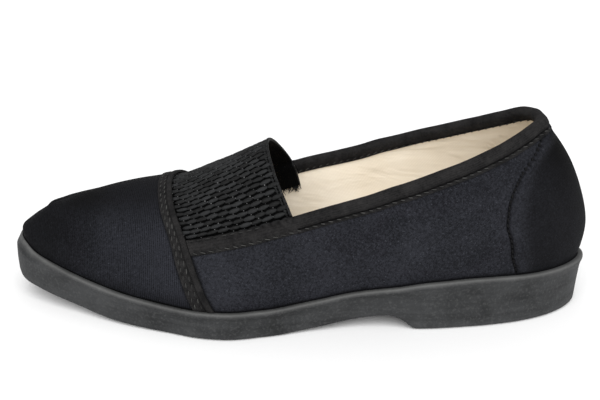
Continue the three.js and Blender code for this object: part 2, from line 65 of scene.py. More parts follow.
OUTLINE = {  # plan of the rim: half widths as shares of the ball's width
    "at": [0, 0.016, 0.043, 0.082, 0.141, 0.219, 0.305, 0.391, 0.48, 0.559, 0.621, 0.664, 0.719, 0.793,
           0.883, 0.945, 0.98, 1],
    "lateral": [-0.03, 0.088, 0.168, 0.242, 0.309, 0.357, 0.383, 0.376, 0.416, 0.477, 0.511, 0.498, 0.448,
                0.379, 0.261, 0.164, 0.084, -0.04],
    "medial": [0.03, 0.152, 0.228, 0.282, 0.325, 0.347, 0.343, 0.332, 0.362, 0.428, 0.472, 0.485, 0.479,
               0.44, 0.345, 0.25, 0.168, 0.04],
}
UNDERSIDE = {
    "at": [0, 0.308, 0.328, 0.342, 0.359, 0.383, 0.422, 0.461, 0.5, 0.539, 0.68, 0.734, 0.813, 0.891,
           0.969, 1],
    "arch": [0, 0, 0.56, 0.88, 1, 0.9, 0.62, 0.34, 0.13, 0, 0, 0, 0, 0, 0, 0],
    "toe": [0, 0, 0, 0, 0, 0, 0, 0, 0, 0, 0, 0.016, 0.115, 0.44, 0.86, 1],
}
RIM = {
    "at": [0, 0.04, 0.09, 0.2, 0.29, 0.344, 0.422, 0.5, 0.56, 0.69, 0.77, 0.85, 0.93, 0.965, 0.985, 1],
    "heel": [0.935, 0.94, 0.94, 1, 0.88, 0.655, 0.39, 0.115, 0, 0, 0, 0, 0, 0, 0, 0],
    "toe": [0, 0, 0, 0, 0, 0, 0, 0, 0, 0, 0.09, 0.275, 0.56, 0.71, 0.88, 1],
}
SECTIONS = {  # sections of the last, from heel to toe
    "at": [0, 0.02, 0.051, 0.109, 0.188, 0.285, 0.383, 0.469, 0.555, 0.641, 0.676, 0.773, 0.871, 0.93,
           0.965, 0.985, 1],
    "belly": [0.01, 0.011, 0.012, 0.016, 0.021, 0.023, 0.024, 0.022, 0.017, 0.01, 0.008, 0.004, 0, 0, 0, 0,
              0],
    "swell": [0.053, 0.05, 0.047, 0.038, 0.026, 0.018, 0.016, 0.013, 0.012, 0.01, 0.009, 0.008, 0.01,
              0.012, 0.012, 0.012, 0.01],
    "lean": [0.102, 0.094, 0.098, 0.088, 0.0775, 0.0625, 0.051, 0.0437, 0.043, 0.044, 0.036, 0.018, 0.003,
             -0.0126, -0.0261, -0.0341, -0.044],
    "edge": [0, 0.124, 0.195, 0.262, 0.324, 0.368, 0.387, 0.403, 0.402, 0.396, 0.385, 0.317, 0.22, 0.1464,
             0.09, 0.0531, 0],
    "edge_up": [1.015, 0.999, 0.938, 0.86, 0.755, 0.667, 0.617, 0.573, 0.51, 0.44, 0.422, 0.335, 0.275,
                0.2521, 0.2335, 0.202, 0.174],
    "ridge_lean": [0.18, 0.176, 0.17, 0.155, 0.14, 0.12, 0.1, 0.09, 0.084, 0.08, 0.07, 0.039, 0, -0.0268,
                   -0.0496, -0.0603, -0.066],
    "ridge_up": [1.378, 1.37, 1.358, 1.33, 1.27, 1.21, 1.13, 1.002, 0.872, 0.737, 0.723, 0.642, 0.503,
                 0.4028, 0.3418, 0.2849, 0.233],
}
COUNTER = {
    "up": [0, 0.28, 0.46, 0.6, 0.71, 0.8, 0.86, 0.915, 0.97, 1],
    "at": [0.14, 0.157, 0.154, 0.1355, 0.1125, 0.082, 0.0485, 0.0295, 0.0095, 0.004],
}

# Main creases of the upper: soft troughs, or ridges where the depth is below 0.
# Turn is in degrees from the wall's rise, and long and wide are half sizes in millimetres.
CREASE_COLUMNS = ("side", "at", "up", "turn", "long", "wide", "depth")
CREASES = [
    (-1, 0.60, 0.30, 35, 13, 4.0, 0.35),
    (-1, 0.55, 0.22, 30, 15, 5.0, 0.3),
    (-1, 0.40, 0.62, 80, 30, 6.0, 0.4),
    (-1, 0.30, 0.22, 75, 28, 6.0, -0.35),
    (-1, 0.09, 0.55, 20, 16, 5.0, -0.5),
    (-1, 0.715, 0.75, 15, 16, 4.0, -0.4),
    (-1, 0.75, 0.60, 15, 16, 4.5, 0.3),
    (1, 0.58, 0.30, 35, 14, 4.0, 0.35),
    (1, 0.40, 0.45, 75, 28, 6.0, 0.45),
    (1, 0.24, 0.30, 60, 20, 5.0, -0.4),
    (1, 0.72, 0.7, 15, 15, 4.0, -0.4),
]


def smoothstep(x, low, high):
    t = np.clip((np.asarray(x, float) - low) / (high - low), 0, 1)
    return t * t * (3 - 2 * t)


def lerp(a, b, t):
    return a + (b - a) * t


def bell(x, middle, width):
    return np.exp(-((x - middle) / width) ** 2)


def run_along(line):
    """The length run along a line, up to each of its points."""
    return np.r_[0, np.cumsum(np.linalg.norm(np.diff(line, axis=0), axis=-1))]


def gathers_at(run):
    """How far each stitch pulls the cloth in: 1 at a stitch's hole and 0 midway between two."""
    return 1 - np.abs(np.sin(math.pi * run / stitch_pitch)) ** 0.6


def swing(along, across, angle):
    """Turns two crossing directions in their plane."""
    c, s = np.cos(angle), np.sin(angle)
    return along * c + across * s, across * c - along * s


def angle_of(at):
    return np.arccos(np.clip(1 - 2 * np.asarray(at, float), -1, 1))


def share_of(angle):
    return (1 - np.cos(angle)) / 2


def through(xs, ys):
    """A smooth curve through a table's rows that doesn't overshoot them."""
    xs, ys = np.array(xs, float), np.array(ys, float)
    rates = np.diff(ys) / np.diff(xs)
    slopes = np.r_[rates[0], np.zeros(len(xs) - 2), rates[-1]]
    for i in range(1, len(xs) - 1):
        product = rates[i - 1] * rates[i]
        slopes[i] = 2 * product / (rates[i - 1] + rates[i]) if product > 0 else 0

    def curve(x):
        x = np.clip(x, xs[0], xs[-1])
        i = np.clip(np.searchsorted(xs, x, side="right") - 1, 0, len(xs) - 2)
        span = xs[i + 1] - xs[i]
        t = (x - xs[i]) / span
        r = 1 - t
        return (ys[i] * r * r * (1 + 2 * t) + ys[i + 1] * t * t * (3 - 2 * t)
                + span * (slopes[i] * t * r * r - slopes[i + 1] * t * t * r))

    return curve


def reader(table):
    curves = {key: through(angle_of(table["at"]), table[key]) for key in table if key != "at"}
    return lambda at: {key: curve(angle_of(at)) for key, curve in curves.items()}


outline_at, underside_at, rim_at, section_at = map(reader, (OUTLINE, UNDERSIDE, RIM, SECTIONS))
counter_at = through(COUNTER["up"], COUNTER["at"])


def underside_height(at):
    shares = underside_at(at)
    return shares["arch"] * arch_rise + shares["toe"] * toe_spring


def rim_height(at):
    shares = rim_at(at)
    return forefoot_height + shares["heel"] * (heel_height - forefoot_height) + shares["toe"] * toe_rim_rise


def rim_point(angle):
    at = share_of(angle)
    half = outline_at(at)
    y = np.where(angle < 0, -half["lateral"], half["medial"]) * ball_width
    return np.stack([length * (0.5 - at), y], -1)


def plan_normal(angle):
    limit = math.pi - slope_step
    inside = np.clip(angle, -limit, limit)
    step = rim_point(inside + slope_step) - rim_point(inside - slope_step)
    normal = np.stack([step[..., 1], -step[..., 0]], -1)
    normal = normal / np.linalg.norm(normal, axis=-1, keepdims=True)
    normal[np.abs(angle) > limit] = (-1, 0)
    normal[np.abs(angle) < 1e-9] = (1, 0)
    return normal


def plan_point(angle, outwards):
    return rim_point(angle) + plan_normal(angle) * np.asarray(outwards, float)[..., None]


def section_points(at):
    """The eleven points of each section's curve, from the lateral foot over the ridge to the medial one."""
    at = np.asarray(at, float)
    shape, base = section_at(at), rim_height(at)
    angle = angle_of(at)
    inset = np.full(at.shape, -rim_width - gap)
    sides = [(side, plan_point(side * angle, inset), plan_normal(side * angle)) for side in (-1, 1)]
    front = smoothstep(at, 0.45, 0.7)
    straight = smoothstep(at, 0.1, 0.5) - smoothstep(at, 0.7, 0.9)
    centre = (sides[0][1][..., 1] + sides[1][1][..., 1]) / 2 * front
    x = (sides[0][1][..., 0] + sides[1][1][..., 0]) / 2
    edge_height = shape["edge_up"] * back_height
    ridge_height = base + shape["ridge_up"] * instep_height
    ridge = np.stack([x - shape["ridge_lean"] * length, centre, ridge_height], -1)
    rounded = smoothstep(at, 0.75, 0.95)
    lines = []
    for side, plan, out in sides:
        foot = np.concatenate([plan, base[..., None]], -1)
        outwards = np.concatenate([out, np.zeros_like(base)[..., None]], -1) * ball_width
        belly = foot + outwards * shape["belly"][..., None]
        belly[..., 0] -= belly_up * shape["lean"] * length * straight
        belly[..., 2] += belly_up * edge_height
        edge = np.stack([plan[..., 0] - shape["lean"] * length, centre + side * shape["edge"] * ball_width,
                         base + edge_height], -1)
        swell = lerp(belly, edge, swell_up) + outwards * shape["swell"][..., None]
        top = lerp(edge, ridge, lerp(shoulder_up, 1 - shoulder, rounded)[..., None])
        top[..., 1] = centre + side * shoulder * shape["edge"] * ball_width
        top[..., 2] = lerp(edge[..., 2], ridge[..., 2], lerp(shoulder_up, toe_shoulder_up, rounded))
        lines.append([foot, belly, swell, edge, top])
    return np.stack(lines[0] + [ridge] + lines[1][::-1], -2)


def section_curve(at, share):
    """A point of each section's curve: a centripetal Catmull-Rom curve through its points."""
    points = section_points(at)
    count = points.shape[-2]
    place = np.clip(share, 0, 1) * (count - 1)
    i = np.minimum(np.floor(place).astype(int), count - 2)
    w = (place - i)[..., None]
    ends = np.concatenate([2 * points[..., :1, :] - points[..., 1:2, :], points,
                           2 * points[..., -1:, :] - points[..., -2:-1, :]], -2)
    p0, p1, p2, p3 = (np.take_along_axis(ends, (i + k)[..., None, None], -2)[..., 0, :] for k in range(4))
    spans = ((p0, p1), (p1, p2), (p2, p3))
    knots = [np.maximum(np.sum((b - a) ** 2, -1), 1e-12)[..., None] ** 0.25 for a, b in spans]
    d1 = np.where(knots[1] < 1e-4, 1.0, knots[1])
    d0 = np.where(knots[0] < 1e-4, d1, knots[0])
    d2 = np.where(knots[2] < 1e-4, d1, knots[2])
    t1 = ((p1 - p0) / d0 - (p2 - p0) / (d0 + d1) + (p2 - p1) / d1) * d1
    t2 = ((p2 - p1) / d1 - (p3 - p1) / (d1 + d2) + (p3 - p2) / d2) * d1
    return p1 + t1 * w + (-3 * p1 + 3 * p2 - 2 * t1 - t2) * w**2 + (2 * p1 - 2 * p2 + t1 + t2) * w**3


def last_point(angle, up):
    """The last's surface: up is -1 on the footbed, 0 at the rim, 1 at the edge line and 2 at the ridge."""
    angle, up = np.broadcast_arrays(np.asarray(angle, float), np.asarray(up, float))
    share = np.where(up <= 1, np.maximum(up, 0) * 0.3, 0.3 + (up - 1) * 0.2)
    point = section_curve(share_of(angle), np.where(angle < 0, share, 1 - share))
    point[..., 2] += np.minimum(up, 0) * (rim_depth - gap)
    return point


def unit(vectors):
    return vectors / np.maximum(np.linalg.norm(vectors, axis=-1, keepdims=True), 1e-12)


def last_normal(angle, up):
    angle, up = np.broadcast_arrays(np.asarray(angle, float), np.asarray(up, float))
    limit = math.pi - slope_step
    here, level = np.clip(angle, -limit, limit), np.maximum(up, slope_step)

    def slope(spot):
        along = last_point(spot + slope_step, level) - last_point(spot - slope_step, level)
        rise = last_point(spot, level + slope_step) - last_point(spot, level - slope_step)
        return unit(np.cross(along, rise))

    normal = slope(here)
    tip = np.abs(angle) > limit
    if tip.any():
        normal[tip] += slope(-here)[tip]
        normal[..., 1][tip] = 0
    normal[..., 2][up < 0] = 0
    ridge = up > 1.999
    if ridge.any():
        at = share_of(angle[ridge])
        half = np.full(at.shape, 0.5)
        along = section_curve(np.clip(at - 0.03, 0, 1), half) - section_curve(np.clip(at + 0.03, 0, 1), half)
        normal[ridge] = np.stack([-along[:, 2], np.zeros(len(at)), along[:, 0]], -1)
    return unit(normal)


def counter_out(angle, up):
    behind = (counter_at(np.clip(up, 0, 1)) - share_of(angle)) * length
    return counter_step * smoothstep(up, 0, 0.1) * smoothstep(behind, -counter_blend / 2, counter_blend / 2)


def skin(angle, up, outwards):
    angle, up = np.broadcast_arrays(np.asarray(angle, float), np.asarray(up, float))
    out = np.asarray(outwards, float) + counter_out(angle, up)
    return last_point(angle, up) + last_normal(angle, up) * out[..., None]


def wall_length(angle):
    ups = np.linspace(0, 1, 9)
    line = last_point(np.asarray(angle, float)[..., None], ups)
    return np.linalg.norm(np.diff(line, axis=-2), axis=-1).sum(-1)


# Mesh building

class Sheets:
    """Grids of points that are welded into one mesh, each with its cloth coordinates in millimetres."""

    def __init__(self):
        self.points, self.cloth, self.faces, self.kinds, self.count = [], [], [], [], 0

    def grid(self, points, cloth=None, wrap=False, kind=0):
        rows, columns = points.shape[:2]
        base = self.count
        self.points.append(points.reshape(-1, 3))
        cloth = points if cloth is None else cloth
        self.cloth.append(np.asarray(cloth, float).reshape(-1, 3))
        self.count += rows * columns
        i, j = np.meshgrid(np.arange(rows - 1), np.arange(columns if wrap else columns - 1), indexing="ij")
        k = (j + 1) % columns
        row, following = i * columns, (i + 1) * columns
        quads = np.stack([row + j, row + k, following + k, following + j], -1).reshape(-1, 4) + base
        self.faces.append(quads)
        self.kinds.append(np.full(len(quads), kind) if np.isscalar(kind) else kind)

    def strand(self, points, cloth):
        """A closed profile drawn along a line, with a fan from its middle at both ends."""
        self.grid(points, cloth, wrap=True)
        for ring in (points[0], points[-1]):
            middle = ring.mean(0, keepdims=True)
            self.grid(np.stack([ring, np.repeat(middle, len(ring), 0)]), wrap=True)

    def slab(self, face, back, cloth, kind=0):
        """Two layers, joined along their four edges."""
        self.grid(face, cloth, kind=kind)
        self.grid(back, cloth, kind=kind)
        for edge in (np.s_[0], np.s_[-1], np.s_[:, 0], np.s_[:, -1]):
            self.grid(np.stack([face[edge], back[edge]]), kind=kind)

    def build(self, name, materials, slot, nodes=(), sharp=40.0, weld=1e-4):
        points, cloth = np.vstack(self.points), np.vstack(self.cloth)
        faces, kinds = np.vstack(self.faces), np.concatenate(self.kinds)
        if weld:
            keys = np.round(points / weld).astype(np.int64)
            _, first, inverse = np.unique(keys, axis=0, return_index=True, return_inverse=True)
            points, cloth, faces = points[first], cloth[first], inverse.reshape(-1)[faces]
        lists, kept = [], []
        for number, quad in enumerate(faces.tolist()):
            corners = [c for n, c in enumerate(quad) if c != quad[n - 1]]
            if len(set(corners)) == len(corners) and len(corners) > 2:
                lists.append(corners)
                kept.append(number)
        mesh = bpy.data.meshes.new(name)
        placed = (points + np.array(ORIGIN)) * MM
        mesh.from_pydata(placed.tolist(), [], lists)
        layer = mesh.attributes.new("cloth", "FLOAT_VECTOR", "POINT")
        layer.data.foreach_set("vector", cloth.astype(np.float32).ravel())
        for material in materials:
            mesh.materials.append(material)
        mesh.polygons.foreach_set("material_index", kinds[kept].astype(np.int32))
        mesh.update()
        clean = bmesh.new()
        clean.from_mesh(mesh)
        bmesh.ops.recalc_face_normals(clean, faces=clean.faces)
        clean.to_mesh(mesh)
        clean.free()
        mesh.shade_smooth()
        mesh.set_sharp_from_angle(angle=math.radians(sharp))
        piece = bpy.data.objects.new(name, mesh)
        bpy.context.scene.collection.objects.link(piece)
        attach(piece, "root")
        if nodes:
            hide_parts(*nodes)


def pillow(rows=7, columns=10, square=0.75):
    """A closed rounded form one unit across, longest along its first axis."""
    tilt = np.linspace(-math.pi / 2, math.pi / 2, rows)
    turn = np.linspace(0, 2 * math.pi, columns, endpoint=False)
    power = lambda v: np.sign(v) * np.abs(v) ** square
    x = np.repeat(power(np.sin(tilt))[:, None], columns, 1)
    y = power(np.cos(tilt))[:, None] * power(np.cos(turn))[None]
    z = power(np.cos(tilt))[:, None] * power(np.sin(turn))[None]
    return np.stack([x, y, z], -1) / 2


def add_many(sheets, shape, origin, axes, tint, kind=0):
    """Copies of a small grid shape, each with its middle, its three axes at their size, and its tint."""
    forms = np.einsum("rck,nkj->nrcj", shape, axes) + origin[:, None, None, :]
    for n, form in enumerate(forms):
        sheets.grid(form, np.broadcast_to([tint[n], n, 0.0], form.shape), wrap=True, kind=kind)


def resample(line, pitch, start=0.5):
    """Values every pitch along a line."""
    steps = run_along(line)
    count = max(int(steps[-1] / pitch), 1)
    places = (np.arange(count) + start) * steps[-1] / count
    return np.stack([np.interp(places, steps, line[:, k]) for k in range(line.shape[1])], -1)


def stitch_places(surface, normal, pitch):
    """Stitches' middles, and unit directions along the row, across it and outwards."""
    line = np.hstack([surface, normal])
    both, ahead = resample(line, pitch), resample(line, pitch, 0.52)
    points, outwards = both[:, :3], unit(both[:, 3:])
    along = unit(ahead[:, :3] - points)
    return points, along, unit(np.cross(outwards, along)), outwards


def stitch_row(sheets, rows, spec):
    """Thread stitches along a row of (angle, up, out) places on the skin."""
    surface, normal = skin(*rows.T), last_normal(rows[:, 0], rows[:, 1])
    points, along, across, outwards = stitch_places(surface, normal, spec["pitch"])
    along, across = swing(along, across, math.radians(spec["skew"]))
    size = (spec["long"] * rng.uniform(0.85, 1.12, len(points)))[:, None]
    axes = np.stack([along * size, across * spec["wide"], outwards * spec["high"]], 1)
    add_many(sheets, pillow(6, 8, 0.85), points, axes, rng.uniform(0, 1, len(points)))


# Materials

def new_material(name):
    material = bpy.data.materials.new(name)
    material.use_nodes = True
    tree = material.node_tree
    return material, tree, tree.nodes["Principled BSDF"]


def node(tree, kind, inputs=None, **settings):
    made = tree.nodes.new(kind)
    for key, value in settings.items():
        setattr(made, key, value)
    for key, value in (inputs or {}).items():
        if isinstance(value, bpy.types.NodeSocket):
            tree.links.new(value, made.inputs[key])
        else:
            made.inputs[key].default_value = value
    return made


def maths(tree, operation, a, b=0.0, clamp=False):
    return node(tree, "ShaderNodeMath", {0: a, 1: b}, operation=operation, use_clamp=clamp).outputs[0]


def total(tree, *terms, clamp=False):
    """The sum of two or three sockets, each times its share."""
    parts = [socket if share == 1 else maths(tree, "MULTIPLY", socket, share) for socket, share in terms]
    if len(parts) == 3:
        parts = [parts[0], maths(tree, "ADD", parts[1], parts[2])]
    return maths(tree, "ADD", *parts, clamp=clamp)


def ramp(tree, value, low, high):
    """Rises from 0 to 1 while the value goes from low to high."""
    made = node(tree, "ShaderNodeValToRGB", {0: value})
    for element, place in zip(made.color_ramp.elements, (low, high)):
        element.position = place
    return made.outputs["Color"]


def mix(tree, factor, a, b):
    made = node(tree, "ShaderNodeMix", data_type="RGBA")
    for key, value in ((0, factor), (6, a), (7, b)):
        if isinstance(value, bpy.types.NodeSocket):
            tree.links.new(value, made.inputs[key])
        else:
            made.inputs[key].default_value = (*value, 1) if hasattr(value, "__len__") else value
    return made.outputs[2]


def part_of(tree, vector, number):
    return node(tree, "ShaderNodeSeparateXYZ", {0: vector}).outputs[number]


def coordinates(tree):
    """The cloth's own coordinates in millimetres, and the piece's in metres."""
    cloth = node(tree, "ShaderNodeAttribute", attribute_name="cloth").outputs["Vector"]
    return cloth, node(tree, "ShaderNodeTexCoord").outputs["Object"]


def stretched(tree, vector, scale):
    return node(tree, "ShaderNodeMapping", {"Vector": vector, "Scale": scale}).outputs[0]


def noise(tree, vector, scale, detail=2.0, rough=0.5, distortion=0.0):
    inputs = {"Vector": vector, "Scale": scale, "Detail": detail, "Roughness": rough,
              "Distortion": distortion}
    return node(tree, "ShaderNodeTexNoise", inputs).outputs["Fac"]


def wave(tree, vector, axis, pitch, distortion, detail, detail_scale=1.0):
    """Stripes with a pitch in the vector's own unit."""
    inputs = {"Vector": vector, "Scale": 2 * math.pi / (20 * pitch), "Distortion": distortion,
              "Detail": detail, "Detail Scale": detail_scale}
    return node(tree, "ShaderNodeTexWave", inputs, wave_type="BANDS", bands_direction=axis).outputs["Fac"]


def plain_weave(tree, cloth, pitch, distortion):
    ribs, wefts = (wave(tree, cloth, axis, pitch, distortion, 1.0) for axis in "XY")
    return total(tree, (ribs, 0.5), (wefts, 0.5))


def srgb(*levels):
    """Linear colour from sRGB levels out of 255."""
    values = [v / 255 for v in (levels if len(levels) == 3 else levels * 3)]
    return tuple(v / 12.92 if v <= 0.04045 else ((v + 0.055) / 1.055) ** 2.4 for v in values)


def set_surface(tree, shader, base, relief, roughness, specular):
    """Colour, bump (height, distance in metres and strength), roughness and gloss of a material."""
    tree.links.new(base, shader.inputs["Base Color"])
    height, distance, strength = relief
    bump = node(tree, "ShaderNodeBump", {"Height": height, "Distance": distance, "Strength": strength})
    tree.links.new(bump.outputs["Normal"], shader.inputs["Normal"])
    shader.inputs["Roughness"].default_value = roughness
    shader.inputs["Specular IOR Level"].default_value = specular


def paint_shade_in_seams(tree, cloth, base, dark):
    """Paints shade into a colour where the cloth's mask is high: seams, grooves, stitch puckers and the
    shaded ends of the panels.
    """
    mask = maths(tree, "MULTIPLY", part_of(tree, cloth, 2), 1.0, True)
    return mix(tree, mask, base, tuple(0.3 * c for c in dark))


def canvas_material(name, dark, light, fleck, spec):
    material, tree, shader = new_material(name)
    cloth, place = coordinates(tree)
    ribs = wave(tree, cloth, "X", spec["ribs"], 1.0, 2.0, 0.8)
    wefts = wave(tree, cloth, "Y", spec["wefts"], 1.2, 2.0, 0.9)
    weave = total(tree, (ribs, spec["rib_depth"]), (wefts, spec["weft_depth"]))
    cloud = noise(tree, place, 38.0, 3.0, 0.6)
    grain = noise(tree, place, 950.0, 3.0, 0.8)
    fuzz = noise(tree, place, 2300.0, 2.0, 0.7)
    tone = total(tree, (cloud, 0.3), (grain, 0.7))
    base = mix(tree, ramp(tree, tone, 0.42, 0.6), dark, light)
    rib_share = 0.45
    if spec["rib_depth"] > 0.5:
        # strong ribs show most beside the tape and fade towards the toe
        span = {0: part_of(tree, place, 0), 1: -0.09, 2: -0.055, 3: 0.3, 4: 0.95}
        rib_share = node(tree, "ShaderNodeMapRange", span).outputs[0]
    base = mix(tree, maths(tree, "MULTIPLY", weave, rib_share, True), base, tuple(2.0 * c for c in light))
    base = mix(tree, maths(tree, "MULTIPLY", ramp(tree, fuzz, 0.56, 0.8), 0.22), base, fleck)
    specks = node(tree, "ShaderNodeTexVoronoi", {"Vector": cloth, "Scale": 0.85, "Randomness": 1.0}).outputs
    near = maths(tree, "LESS_THAN", specks["Distance"], 0.24)
    lot = node(tree, "ShaderNodeSeparateColor", {0: specks["Color"]}).outputs[0]
    chosen = maths(tree, "GREATER_THAN", lot, 1 - spec["flecks"])
    base = mix(tree, maths(tree, "MULTIPLY", maths(tree, "MULTIPLY", near, chosen), 0.16), base, fleck)
    # painted shade from the cloth's mask
    base = paint_shade_in_seams(tree, cloth, base, dark)
    height = total(tree, (weave, 1), (grain, 1), (fuzz, 0.5))
    set_surface(tree, shader, base, (height, 0.00016, 0.85), 0.92, 0.12)
    return material


def tape_material(name, dark, light):
    material, tree, shader = new_material(name)
    cloth, place = coordinates(tree)
    fuzz = noise(tree, place, 1000.0, 3.0, 0.8)
    cloud = noise(tree, place, 190.0, 3.0)
    tone = total(tree, (cloud, 0.5), (fuzz, 0.5))
    base = mix(tree, ramp(tree, tone, 0.38, 0.62), dark, light)
    weave = plain_weave(tree, cloth, 0.5, 0.8)
    base = mix(tree, maths(tree, "MULTIPLY", weave, 0.3), base, tuple(1.8 * c for c in light))
    # painted shade in the stitch puckers and grooves
    base = paint_shade_in_seams(tree, cloth, base, dark)
    set_surface(tree, shader, base, (total(tree, (weave, 1), (fuzz, 2.0)), 0.0002, 0.8), 0.92, 0.12)
    return material


def thread_material(name, dark, light):
    material, tree, shader = new_material(name)
    cloth, place = coordinates(tree)
    twist = noise(tree, place, 2600.0)
    tone = total(tree, (part_of(tree, cloth, 0), 0.6), (twist, 0.4), clamp=True)
    set_surface(tree, shader, mix(tree, tone, dark, light), (twist, 0.0001, 0.6), 0.7, 0.2)
    return material


def elastic_material():
    material, tree, shader = new_material("elastic_cord")
    cloth, place = coordinates(tree)
    strands = noise(tree, stretched(tree, place, (500.0, 2600.0, 2600.0)), 1.0)
    tone = total(tree, (part_of(tree, cloth, 0), 0.35), (strands, 0.65), clamp=True)
    base = mix(tree, ramp(tree, tone, 0.3, 0.75), srgb(4), srgb(37, 38, 39))
    set_surface(tree, shader, base, (strands, 0.00015, 0.8), 0.7, 0.22)
    return material


def ground_material():
    material, tree, shader = new_material("elastic_ground")
    cloth, _ = coordinates(tree)
    ribs, rows = wave(tree, cloth, "X", 0.9, 1.2, 1.0), wave(tree, cloth, "Y", 1.4, 1.0, 1.0)
    weave = maths(tree, "MULTIPLY", ribs, rows)
    # Near black: the ground weave's own dark colour, with painted shade for the gaps between the bricks.
    base = mix(tree, weave, srgb(1), srgb(6, 6, 7))
    set_surface(tree, shader, base, (weave, 0.0003, 1.0), 0.9, 0.08)
    return material


def lining_material():
    material, tree, shader = new_material("cotton_lining")
    cloth, place = coordinates(tree)
    weave = plain_weave(tree, cloth, 0.7, 0.7)
    cloud = noise(tree, place, 45.0, 3.0, 0.55)
    base = mix(tree, ramp(tree, cloud, 0.3, 0.7), srgb(232, 220, 200), srgb(240, 230, 213))
    base = mix(tree, maths(tree, "MULTIPLY", weave, 0.12), base, srgb(208, 195, 172))
    soft = noise(tree, stretched(tree, cloth, (0.04, 0.12, 1.0)), 1.0, distortion=0.6)
    set_surface(tree, shader, base, (total(tree, (weave, 0.1), (soft, 2.2)), 0.0006, 0.7), 0.92, 0.15)
    shader.inputs["Sheen Weight"].default_value = 0.1
    return material


def rubber_material():
    material, tree, shader = new_material("moulded_rubber")
    cloth, place = coordinates(tree)
    cloud = noise(tree, place, 55.0, 5.0, 0.62, 0.4)
    grain = noise(tree, place, 900.0, 3.0, 0.6)
    streak = noise(tree, stretched(tree, place, (18.0, 18.0, 260.0)), 1.0, 4.0, 0.6)
    tone = total(tree, (cloud, 0.6), (streak, 0.4))
    base = mix(tree, ramp(tree, tone, 0.38, 0.62), srgb(25, 26, 27), srgb(54, 55, 56))
    base = mix(tree, maths(tree, "MULTIPLY", ramp(tree, grain, 0.5, 0.7), 0.3), base, srgb(84))
    # The lip's top is painted paler: partly its wear, partly a painted highlight where the rounded lip faces
    # the light.
    wear_and_highlight_patches = maths(tree, "ADD", 0.2, maths(tree, "MULTIPLY", cloud, 0.7))
    wear_and_highlight = maths(tree, "MULTIPLY", part_of(tree, cloth, 2), wear_and_highlight_patches, True)
    base = mix(tree, wear_and_highlight, base, srgb(100, 100, 99))
    set_surface(tree, shader, base, (total(tree, (grain, 0.5), (cloud, 1)), 0.00025, 0.6), 0.5, 0.25)
    rough = maths(tree, "ADD", 0.55, maths(tree, "MULTIPLY", cloud, 0.22))
    tree.links.new(rough, shader.inputs["Roughness"])
    return material


VAMP = canvas_material("canvas_vamp", srgb(3, 3, 5), srgb(30, 31, 36), srgb(92, 95, 103),
                       {"ribs": 0.85, "wefts": 0.75, "rib_depth": 0.65, "weft_depth": 0.2, "flecks": 0.08})
QUARTER = canvas_material("canvas_quarter", srgb(3, 3, 5), srgb(36, 37, 42), srgb(96, 99, 107),
                          {"ribs": 0.6, "wefts": 0.6, "rib_depth": 0.35, "weft_depth": 0.4, "flecks": 0.22})
TAPE = tape_material("cotton_tape", srgb(7, 7, 8), srgb(38, 37, 37))
THREAD = thread_material("pale_thread", srgb(22), srgb(76, 76, 74))
DARK_THREAD = thread_material("dark_thread", srgb(1, 1, 2), srgb(6, 6, 7))
KNOT = thread_material("pale_knot", srgb(34, 35, 36), srgb(122))
ELASTIC, GROUND = elastic_material(), ground_material()
LINING, RUBBER = lining_material(), rubber_material()

rng = np.random.default_rng(SEED)


# Outsole

def at_toe(at):
    return smoothstep(at, 0.88, 1)


def round_loop(count, extra=()):
    """Angles once round the shoe, without the doubled toe."""
    base = list(np.linspace(-math.pi, math.pi, count + 1))[1:]
    for at in extra:
        base += [-float(angle_of(at)), float(angle_of(at))]
    return np.array(sorted(base))


def loop_ring(angles, outwards, height):
    at = share_of(angles)
    plan = plan_point(angles, outwards(at))
    return np.concatenate([plan, height(at)[:, None]], -1)


def loop_piece(sheets, angles, rings):
    """Rings round the shoe, each with a mask value for its lip, closed at both ends by strips across it."""
    loops = np.stack([loop_ring(angles, outwards, height) for outwards, height, _ in rings])
    lips = np.array([lip for _, _, lip in rings])
    run = run_along(loops[0])
    cloth = np.stack([np.broadcast_to(run, loops.shape[:2]), loops[..., 2],
                      np.broadcast_to(lips[:, None], loops.shape[:2])], -1)
    sheets.grid(loops, cloth, wrap=True)
    half = (len(angles) - 1) // 2
    across = np.linspace(0, 1, 13)[:, None, None]
    for loop in (loops[0], loops[-1]):
        tip, heel = loop[-1][None], loop[half][None]
        lateral = np.vstack([tip, loop[:half], heel])
        medial = np.vstack([tip, loop[::-1][1 : half + 1], heel])
        strip = lateral[None] * (1 - across) + medial[None] * across
        cloth = np.stack([strip[..., 0], strip[..., 1], np.zeros(strip.shape[:2])], -1)
        sheets.grid(strip, cloth)


